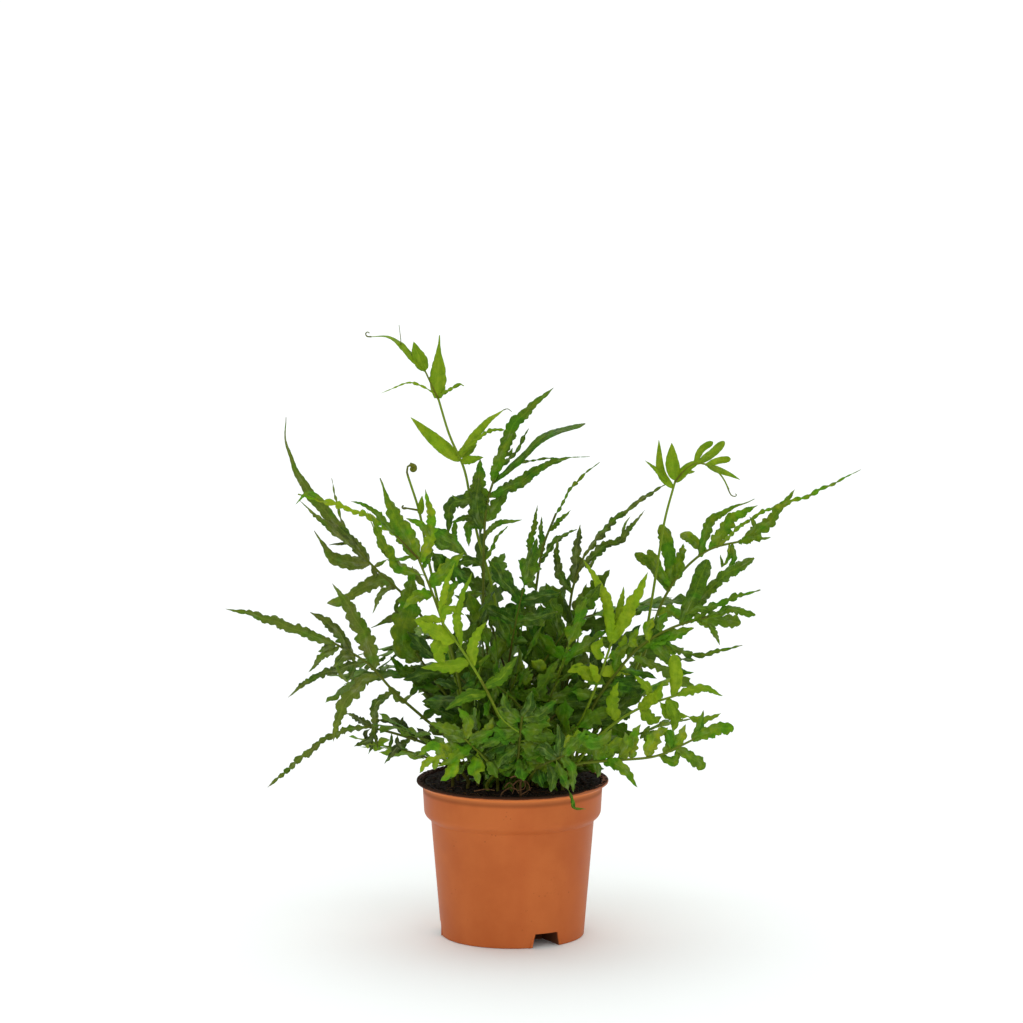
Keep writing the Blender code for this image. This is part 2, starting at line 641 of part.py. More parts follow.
def blade(centres, width, facing, roll, grow=0.0):
    """Points and faces of one leaflet: a thin strip with waved, lobed edges and blunt ends."""
    points = []
    last = len(centres) - 1
    sections = frames(centres, facing, roll)
    sections[0] = sections[1]
    for step, (along, across, face) in enumerate(sections):
        half = max(BLADE_END, width * half_width(step / last, step, last)) + grow
        turn = Matrix.Rotation(EDGE_TWIST * (1 if step % 2 or step == 0 else -1), 3, along)
        reach = turn @ across * half
        thick = turn @ face * (BLADE / 2.0 + grow)
        here = centres[step]
        points += [here - reach - thick, here + reach - thick, here + reach + thick, here - reach + thick]
    return points, blade_faces(last)


def blade_faces(last):
    """Faces of a leaflet: its flat root whole, the rest split along the same diagonals on both faces."""
    faces = [(0, 3, 2, 1), (last * 4, last * 4 + 1, last * 4 + 2, last * 4 + 3)]
    faces += [(index, (index + 1) % 4, (index + 1) % 4 + 4, index + 4) for index in range(4)]
    for step in range(1, last):
        a, b, c, d = (step * 4 + index for index in range(4))
        e, f, g, h = (step * 4 + 4 + index for index in range(4))
        faces += [(a, b, f), (a, f, e), (d, g, c), (d, h, g)]
        faces += [(b, c, g), (b, g, f), (d, a, e), (d, e, h)]
    return faces


class Thicket:
    """The pieces placed so far, which a new piece of another frond has to clear."""

    def __init__(self):
        self.placed = []

    def add(self, owner, points, faces):
        """Keep a placed piece with its box."""
        tree = BVHTree.FromPolygons(points, faces)
        self.placed.append((owner, tree, box_of(points)))

    def hits(self, owner, points, faces, own=False):
        """Whether a piece crosses a placed piece of another owner, or of its own where own is set."""
        low, high = box_of(points)
        tree = None
        for other, other_tree, (other_low, other_high) in self.placed:
            if (other == owner) != own:
                continue
            if any(low[axis] > other_high[axis] or high[axis] < other_low[axis] for axis in range(3)):
                continue
            tree = tree or BVHTree.FromPolygons(points, faces)
            if tree.overlap(other_tree):
                return True
        return False


def box_of(points):
    """Lowest and highest corner of some points."""
    low = [min(point[axis] for point in points) for axis in range(3)]
    high = [max(point[axis] for point in points) for axis in range(3)]
    return low, high


def in_pot(points):
    """Whether any point dips into the soil or the pot, or comes too near them."""
    for point in points:
        radius = math.hypot(point.x, point.y)
        if point.z < POT_HEIGHT + RIM_CLEAR and radius < LIP_RADIUS + RIM_CLEAR:
            if radius > NECK_RADIUS - WALL_CLEAR or point.z < SOIL_CLEAR:
                return True
    return False


def foot_spots():
    """Places on the soil where stipes may stand, on a lattice of triangles."""
    spots = []
    rows = int(FOOT_LIMIT / (FOOT_PITCH * FOOT_ROW)) + 1
    columns = int(FOOT_LIMIT / FOOT_PITCH) + 2
    for row in range(-rows, rows + 1):
        for column in range(-columns, columns + 1):
            along = (column + 0.5 * (row % 2)) * FOOT_PITCH
            spot = Vector((along, row * FOOT_PITCH * FOOT_ROW, 0.0))
            if spot.length <= FOOT_LIMIT:
                spots.append(spot)
    return spots


def stipe_line(foot, points):
    """Centres of a stipe: upright out of its hole, then a smooth curve through the points."""
    rise = Vector((foot.x, foot.y, SOIL_CLEAR + STIPE_RISE))
    smooth = curve([rise] + points)
    steps = max(3, round(lengths(smooth)[-1] / STIPE_STEP))
    bottom = Vector((foot.x, foot.y, foot_bottom(foot)))
    return [bottom, Vector((foot.x, foot.y, SOIL_CLEAR - RIM_CLEAR))] + evenly(smooth, steps)


class Frond:
    """One frond: its stems as centre lines, and its leaflets still to be placed."""

    def __init__(self, name, stems, leaflets, facing, slide):
        self.name = name
        self.stems = stems
        self.leaflets = leaflets
        self.facing = facing
        self.slide = slide
        self.foot = None
        self.tubes = []
        self.blades = []

    def stand(self, thicket, spots):
        """Choose the nearest free foot from which the stipe clears the others."""
        for shift in self.shifts():
            points = [point + shift for point in self.stems[0]]
            wish = Vector((points[-1].x, points[-1].y, 0.0)) * FOOT_SHARE
            if wish.length > FOOT_LIMIT:
                wish *= FOOT_LIMIT / wish.length
            for foot in sorted(spots, key=lambda spot: (spot - wish).length)[:FOOT_TRIES]:
                centres = stipe_line(foot, points)
                if self.blocked(thicket, centres, shift):
                    continue
                spots.remove(foot)
                self.foot = foot
                self.settle(thicket, centres, shift)
                return True
        return False

    def shifts(self):
        """Moves of the whole frond that may be tried."""
        return [Vector()]

    def blocked(self, thicket, centres, shift):
        """Whether the stipe would touch another, the pot or the soil."""
        if in_pot([centre for centre in centres if centre.z > SOIL_CLEAR + SOIL_MARGIN]):
            return True
        return thicket.hits(self.name, *tube(centres, STIPE_RADIUS, RACHIS_RADIUS, CLEAR))

    def settle(self, thicket, centres, shift):
        """Keep the stipe and its side branches."""
        self.tubes.append((centres, STIPE_RADIUS, RACHIS_RADIUS))
        for branch in self.stems[1:]:
            line = curve([self.nearest(branch[0])] + branch[1:])
            steps = max(len(branch) - 1, 2, round(lengths(line)[-1] / BRANCH_STEP))
            self.tubes.append((evenly(line, steps), BRANCH_RADIUS, BRANCH_RADIUS))
        for line, start, end in self.tubes:
            thicket.add(self.name, *tube(line, start, end))

    def nearest(self, point):
        """The nearest point on the frond's stems, a little back from each stem's end."""
        best = None
        for centres, start, end in self.tubes:
            runs = lengths(centres)
            steps = max(1, int(runs[-1] / SEARCH_STEP))
            for index in range(steps + 1):
                place = point_at(centres, runs, (runs[-1] - ROOT_BACK) * index / steps)
                if best is None or (place - point).length < (best - point).length:
                    best = place
        return best

    def grow(self, thicket):
        """Place each leaflet where it clears the other fronds, by swinging it, then by shortening it."""
        for width, roll, path in self.leaflets:
            placed = self.fit(thicket, width, roll, path, True) or self.fit(thicket, width, roll, path, False)
            if placed is None:
                continue
            points, faces = placed
            thicket.add(self.name, points, faces)
            self.blades.append(placed)

    def fit(self, thicket, width, roll, path, apart):
        """The first swing and length of a leaflet that clears, or None."""
        root = self.nearest(path[0])
        for share in SHARES:
            for slide in SLIDES:
                line = curve([root] + self.slid(path[1:], slide))
                run = lengths(line)[-1] * share
                steps = max(BLADE_STEPS[0], min(BLADE_STEPS[1], round(run / BLADE_STEP)))
                centres = evenly(line, steps, share)
                points, faces = blade(centres, width, self.facing, roll, CLEAR)
                if in_pot(points) or thicket.hits(self.name, points, faces):
                    continue
                free = blade(centres[2:], width, self.facing, roll)
                if apart and thicket.hits(self.name, *free, own=True):
                    continue
                return blade(centres, width, self.facing, roll)
        return None

    def slid(self, path, amount):
        """The points moved by up to an amount, the last one most."""
        last = len(path)
        return [point + self.slide(point) * (amount * ((index + 1) / last) ** SLIDE_POWER)
                for index, point in enumerate(path)]

    def build(self):
        """One solid: the stipe, its branches and the leaflets, joined."""
        finish = "young" if self.name in YOUNG else "frond"
        bodies = []
        for index, (centres, start, end) in enumerate(self.tubes):
            points, faces = tube(centres, start, end)
            bodies.append(add_object(self.name if index == 0 else f"{self.name}_stem_{index}", points, faces))
        for index, (points, faces) in enumerate(self.blades):
            bodies.append(add_object(f"{self.name}_leaflet_{index}", points, faces))
        stipe = bodies[0]
        if len(bodies) > 1:
            join(stipe, bodies[1:])
        stipe.data.materials.clear()
        stipe.data.materials.append(material(finish))
        return stipe


def along_sight(point):
    """A step of one unit of depth along the line of sight through a point."""
    line = point - EYE
    return line / line.y


def outer_frond(name, stems, leaflets):
    """A frond from its front-view table."""
    lines = [[seen(across, up, depth * DEPTH_SPREAD) for across, up, depth in stem] for stem in stems]
    depth = stems[0][-1][2] * DEPTH_SPREAD
    built = []
    for index, (width, reach, *path) in enumerate(leaflets):
        last = len(path) - 1
        points = [seen(across, up, depth + reach * (step / last) ** DEPTH_POWER)
                  for step, (across, up) in enumerate(path)]
        length = lengths(points)[-1]
        real = max(width, min(LEAST_WIDTH_LIMIT, LEAST_WIDTH + WIDTH_BY_LENGTH * length))
        roll = math.acos(width / real) * (1 if index % 2 else -1)
        built.append((real, roll, points))
    return Frond(name, lines, built, FACING_EYE, along_sight)


class Sprig(Frond):
    """An inner frond: its leaflets are lobes cut to the rib of one thin arched blade."""

    def __init__(self, name, knee, rib, face, lobes):
        overlap = rib[0].lerp(rib[1], RIB_OVERLAP / (rib[1] - rib[0]).length)
        super().__init__(name, [[knee, rib[0], overlap]], [], face, None)
        self.rib = rib
        self.lobes = lobes

    def shifts(self):
        """Moves outwards and upwards that may be tried, the nearest first."""
        out = Vector((self.rib[0].x, self.rib[0].y, 0.0)).normalized()
        side = Vector((-out.y, out.x, 0.0))
        moves = [side * across + UP * up for across in SHIFTS for up in SHIFTS]
        return sorted(moves, key=lambda move: move.length)

    def blocked(self, thicket, centres, shift):
        """Whether the stipe or the rib would touch another frond."""
        rib = [point + shift for point in self.rib]
        if in_pot(rib) or thicket.hits(self.name, *tube(rib, RIB_HALF, RIB_HALF, CLEAR)):
            return True
        return super().blocked(thicket, centres, shift)

    def settle(self, thicket, centres, shift):
        """Keep the stipe and the rib."""
        super().settle(thicket, centres, shift)
        self.rib = [point + shift for point in self.rib]
        thicket.add(self.name, *tube(self.rib, RIB_HALF, RIB_HALF))

    def grow(self, thicket):
        """Fit each lobe clear of the other fronds, then make the blade that holds them."""
        fitted = {}
        for (station, hand), lobe in self.lobes.items():
            fitted[station, hand] = self.fit_lobe(thicket, station, hand, lobe)
        points, faces = self.sheet(fitted)
        thicket.add(self.name, points, faces)
        self.blades.append((points, faces))

    def fit_lobe(self, thicket, station, hand, lobe):
        """The five middle points of a lobe where it clears, or None."""
        for share in LOBE_SHARES:
            for lift in LIFTS:
                corners = self.lobe_corners(station, hand, lobe, share, lift)
                points, faces = slab(corners, [(0, 4, 1), (4, 3, 1), (1, 3, 2)], self.facing, CLEAR, hand)
                if not in_pot(points) and not thicket.hits(self.name, points, faces):
                    return corners
        return None

    def rib_side(self, station, hand):
        """The edge of the rib at a station, on the left for -1 and on the right for 1."""
        return self.rib[station] + self.across(station) * (RIB_HALF * hand)

    def across(self, station):
        """The direction to the right across the rib at a station."""
        after = min(station + 1, len(self.rib) - 1)
        before = max(after - 1, 0) if after == station else station
        return (self.rib[after] - self.rib[before]).cross(self.facing).normalized()

    def lobe_corners(self, station, hand, lobe, share, lift):
        """A lobe's middle points: root, shoulder, tip, shoulder, root, from the rib's base end on."""
        length, width, turn, rise = lobe
        length *= share
        across = self.across(station)
        last = len(self.rib) - 1
        heading = (self.rib[min(station + 1, last)] - self.rib[min(station, last - 1)]).normalized()
        if hand == 0:
            near = self.rib_side(last, -1)
            far = self.rib_side(last, 1)
            along = heading
            over = across
        else:
            near = self.rib_side(station, hand)
            far = self.rib_side(station + 1, hand)
            along = heading * math.cos(turn) + across * (hand * math.sin(turn))
            over = heading * math.sin(turn) - across * (hand * math.cos(turn))
        root = (near + far) / 2.0
        tip = root + along * length + self.facing * (length * (rise + lift))
        waist = root.lerp(tip, LOBE_SHOULDER) + self.facing * LOBE_CURL
        half = over * (width / 2.0 * (LOBE_WIDTH_KEPT + (1.0 - LOBE_WIDTH_KEPT) * share))
        return [near, waist - half, tip, waist + half - self.facing * LOBE_CURL, far]

    def sheet(self, fitted):
        """Points and faces of the thin blade: the rib with its lobes."""
        points = []
        for station in range(len(self.rib)):
            points += [self.rib_side(station, -1), self.rib_side(station, 1)]
        faces = []
        outline_left = []
        outline_right = []
        last = len(self.rib) - 1
        for station in range(last):
            low, high = station * 2, station * 2 + 2
            faces += [(low, low + 1, high + 1), (low, high + 1, high)]
            for hand, outline in ((-1, outline_left), (1, outline_right)):
                root, end = (low, high) if hand < 0 else (low + 1, high + 1)
                outline.append(root)
                corners = fitted.get((station, hand))
                if corners:
                    first = len(points)
                    points += corners[1:4]
                    outline += [first, first + 1, first + 2]
                    faces += [flip(face, hand > 0) for face in lobe_faces(root, first, end)]
        outline_left.append(last * 2)
        outline_right.append(last * 2 + 1)
        corners = fitted.get((last, 0))
        if corners:
            first = len(points)
            points += corners[1:4]
            faces += lobe_faces(last * 2, first, last * 2 + 1)
            outline_left += [first, first + 1, first + 2]
        loop = outline_right + list(reversed(outline_left))
        return thicken(points, faces, loop, self.facing * (BLADE / 2.0))


def lobe_faces(root, first, end):
    """Three triangles of a lobe whose shoulder, tip and shoulder follow on from first."""
    return [(root, end, first), (end, first + 2, first), (first, first + 2, first + 1)]


def flip(face, wanted):
    """The face, turned over where wanted."""
    return tuple(reversed(face)) if wanted else face


def thicken(points, faces, loop, half):
    """A closed sheet from middle points, faces seen from above and the outline, turned to the left."""
    count = len(points)
    result = [point + half for point in points] + [point - half for point in points]
    solid = list(faces) + [tuple(index + count for index in reversed(face)) for face in faces]
    for here, after in zip(loop, loop[1:] + loop[:1]):
        solid += [(here, here + count, after + count), (here, after + count, after)]
    return result, solid


def slab(corners, faces, facing, grow, hand):
    """One lobe by itself, thicker and wider by grow, to test what it would touch."""
    middle = sum(corners, Vector()) / len(corners)
    wide = [corner + (corner - middle).normalized() * grow for corner in corners]
    loop = [0, 1, 2, 3, 4] if hand <= 0 else [4, 3, 2, 1, 0]
    return thicken(wide, faces, loop, facing * (BLADE / 2.0 + grow))


def sprig(name, out, base, climb, habit, size, rng):
    """An inner frond: a stipe that leans out to its base point, and a rib with pairs of lobes."""
    side = Vector((-out.y, out.x, 0.0))
    ground = Vector((0.0, 0.0, SOIL_CLEAR))
    knee = ground.lerp(base, KNEE_SHARE)
    lean, sway, outward = habit
    heading = (out * lean + UP * climb + side * rng.uniform(-sway, sway)).normalized()
    face = UP + out * outward
    face = (face - heading * face.dot(heading)).normalized()
    face = Matrix.Rotation(rng.uniform(-SPRIG_ROLL, SPRIG_ROLL), 3, heading) @ face
    pitch = RIB_PITCH * rng.uniform(*PITCH_SPREAD)
    rib = [base - heading * pitch * 0.5]
    for station in range(SPRIG_PAIRS + 1):
        sag = face * (-RIB_SAG * pitch * station * station)
        rib.append(base + heading * pitch * station + sag)
    lobes = {}
    for station in range(1, SPRIG_PAIRS + 1):
        for hand in (-1, 1):
            length = size[0] * rng.uniform(*LENGTH_SPREAD)
            width = min(size[1] * rng.uniform(*WIDTH_SPREAD), pitch * math.sin(LOBE_TURN) - LOBE_GAP)
            lobes[station, hand] = (length, width, LOBE_TURN, rng.uniform(-LOBE_LIFT, LOBE_LIFT))
    lobes[SPRIG_PAIRS + 1, 0] = (size[0] * rng.uniform(*TIP_SPREAD), size[1], 0.0, TIP_DROOP)
    return Sprig(name, knee, rib, face, lobes)


def sprigs():
    """All the inner, lower and back fronds, with azimuths spread evenly and shaken a little."""
    rng = random.Random(SPRIG_SEED)
    result = []
    for kind, (count, (start, end), across, deep, heights, climbs, habit, size) in SPRIGS.items():
        for index in range(count):
            azimuth = math.radians(start + (end - start) * (index + rng.uniform(*AZIMUTH_SPREAD)) / count)
            out = Vector((math.cos(azimuth), math.sin(azimuth), 0.0))
            base = Vector((out.x * rng.uniform(*across), out.y * rng.uniform(*deep), 0.0))
            base.z = rng.uniform(*heights)
            climb = rng.uniform(*climbs)
            grown = [value * rng.uniform(*SIZE_SPREAD) for value in size]
            result.append(sprig(f"{kind}_{index + 1:02d}", out, base, climb, habit, grown, rng))
    return result


def lay_out():
    """Every frond with its foot and its leaflets placed clear of the others."""
    thicket = Thicket()
    thicket.add("pot", *pot_shell())
    spots = foot_spots()
    fronds = [outer_frond(name, *rows) for name, rows in OUTER_FRONDS.items()] + sprigs()
    standing = [frond for frond in fronds if frond.stand(thicket, spots)]
    for frond in standing:
        frond.grow(thicket)
    return standing


def make_old_stipe(foot):
    """The dry stub of an old stipe, curled over at the front of the soil."""
    centres = [Vector((foot.x, foot.y, foot_bottom(foot)))] + [seen(*point) for point in OLD_STIPE]
    points, faces = tube(centres, OLD_STIPE_RADIUS, OLD_STIPE_RADIUS * OLD_STIPE_TAPER)
    return add_object("old_stipe", points, faces, "old_stipe")


def main():
    """Build the whole plant."""
    clear_scene()
    make_pot()
    standing = lay_out()
    old_foot = seen(*OLD_STIPE[0])
    old_foot.z = 0.0
    make_soil([frond.foot for frond in standing] + [old_foot])
    make_old_stipe(old_foot)
    for frond in standing:
        frond.build()


main()
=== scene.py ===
"""Looks of the potted brake fern: waved leaves, stipes, dark soil and a pot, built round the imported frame.

Sizes are in millimetres and are scaled by MM when a mesh is made. Each surface is a grid of points
worked out as whole arrays. OUTER_FRONDS and SPRIGS repeat the part's own rows, and how far each frond,
leaflet and lobe was moved to clear its neighbours is read off its CAD node.
"""
import math
import random

import bpy
import numpy as np
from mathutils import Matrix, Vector
from mathutils.bvhtree import BVHTree


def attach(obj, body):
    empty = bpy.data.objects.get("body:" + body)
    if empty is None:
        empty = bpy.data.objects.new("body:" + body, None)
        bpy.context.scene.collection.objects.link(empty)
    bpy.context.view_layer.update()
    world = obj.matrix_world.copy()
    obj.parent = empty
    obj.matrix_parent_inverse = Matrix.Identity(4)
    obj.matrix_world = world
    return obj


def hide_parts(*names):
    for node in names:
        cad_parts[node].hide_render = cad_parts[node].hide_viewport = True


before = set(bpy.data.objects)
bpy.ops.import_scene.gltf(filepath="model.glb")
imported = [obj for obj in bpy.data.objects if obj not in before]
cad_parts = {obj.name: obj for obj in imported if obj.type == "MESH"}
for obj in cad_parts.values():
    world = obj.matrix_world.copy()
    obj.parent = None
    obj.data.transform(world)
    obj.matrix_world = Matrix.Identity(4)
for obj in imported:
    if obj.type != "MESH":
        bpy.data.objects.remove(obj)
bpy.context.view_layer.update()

MM = 0.001

# Pot and soil, as in the part
POT_WALL = 1.2
POT_HEIGHT = 98.5
STEP_INSIDE_RISE = 0.9
COLLAR_INSIDE_RISE = 0.6
LIP_SLOPE = 0.2
BASE_RADIUS = 44.7
STEP_HEIGHT = 73.0
STEP_RADIUS = 50.9
COLLAR_HEIGHT = 77.0
COLLAR_RADIUS = 55.2
NECK_HEIGHT = 95.3
NECK_RADIUS = 56.2
LIP_HEIGHT = 97.0
LIP_RADIUS = 60.0
NOTCH_COUNT = 3
NOTCH_FROM_FRONT = 28.0
NOTCH_HEIGHT = 9.0
NOTCH_WIDTH = 19.5
NOTCH_TOP_WIDTH = 15.6
CHANNEL_START = 22.0
DRAIN_RADIUS = 2.4
DRAIN_PLACE = 34.0
ROOF_INSET = 0.4
CUT_BELOW = 1.0
SOIL_EDGE = 94.8
SOIL_MOUND = 1.6
SOIL_LUMP = 0.5
SOIL_CLEAR = 98.0
# Waves of the soil's lumps: rates along x and y, start, then the second wave's share and rates
LUMP_X, LUMP_Y, LUMP_START = 0.31, 0.27, 1.0
SECOND_SHARE, SECOND_X, SECOND_Y = 0.6, 0.13, 0.41

# Stems and leaflets, as in the part
STIPE_STEP = 24.0
STIPE_RISE = 3.0
STIPE_SINK = 1.0
BRANCH_STEP = 9.0
SEARCH_STEP = 0.5
ROOT_BACK = 1.6
BLADE = 0.7
BLADE_STEP = 9.6
BLADE_STEPS = (3, 7)
BLADE_POINTS = 60
LEAST_WIDTH, WIDTH_BY_LENGTH, LEAST_WIDTH_LIMIT = 2.0, 0.075, 7.5
DEPTH_SPREAD = 1.6
DEPTH_POWER = 1.2
SLIDE_POWER = 1.3
SLIDES = (0, -7, 7, -14, 14, -21, 21, -28, 28, -36, 36)
SHARES = (1.0, 0.82, 0.66)
SHIFTS = (0.0, 6.0, -6.0, 12.0, -12.0)
LIFTS = (0.0, 0.2, -0.2, 0.4, -0.4)
LOBE_SHARES = (1.0, 0.85, 0.7, 0.55, 0.4)
RIB_HALF = 0.9
RIB_PITCH = 16.0
LOBE_TURN = math.radians(58.0)
LOBE_SHOULDER = 0.42
LOBE_LIFT = 0.22
LOBE_CURL = 1.3
LOBE_GAP = 0.6
LOBE_WIDTH_KEPT = 0.55
TIP_DROOP = -0.12
KNEE_SHARE = 0.6
RIB_SAG = 0.05
AZIMUTH_SPREAD = (0.2, 0.8)
SIZE_SPREAD = (0.9, 1.1)
PITCH_SPREAD = (0.92, 1.08)
LENGTH_SPREAD = (0.82, 1.12)
WIDTH_SPREAD = (0.85, 1.1)
TIP_SPREAD = (1.0, 1.25)
SPRIG_SEED = 29
SPRIG_PAIRS = 3
SPRIG_ROLL = 0.35
SPRIGS = {
    "frond_skirt": (7, (-170.0, -10.0), (10, 42), (14, 30), (105, 112), (0.3, 0.9),
                    (0.7, 1.1, 1.1), (24.0, 13.0)),
    "frond_near": (9, (-166.0, -14.0), (10, 50), (14, 36), (115, 146), (0.5, 1.3),
                   (0.5, 1.0, 1.3), (29.0, 13.5)),
    "frond_inner": (8, (-170.0, 190.0), (12, 48), (8, 28), (150, 184), (0.7, 1.6),
                    (0.6, 0.9, 0.9), (31.0, 14.0)),
    "frond_lower": (6, (-205.0, 25.0), (46, 62), (22, 36), (111, 128), (0.35, 0.9),
                    (1.0, 0.4, 0.4), (28.0, 13.5)),
    "frond_back": (7, (18.0, 162.0), (54, 80), (62, 100), (128, 200), (-0.35, 0.4),
                   (1.0, 0.4, 0.4), (36.0, 13.0)),
}

# How near a choice has to come to the CAD node to be the one that was built
ON_FACE = 0.45
ON_CORNER = 0.06

# The eye that the front-view points are read from
EYE = np.array((0.0, -3129.0, 718.0))
EYE_TILT = 8.2
EYE_LENS = 5100.0 / 1023.0 * 36.0
EYE_SHIFT = -0.001
FACING_EYE = np.array((0.0, -0.93, 0.36))
UP = np.array((0.0, 0.0, 1.0))

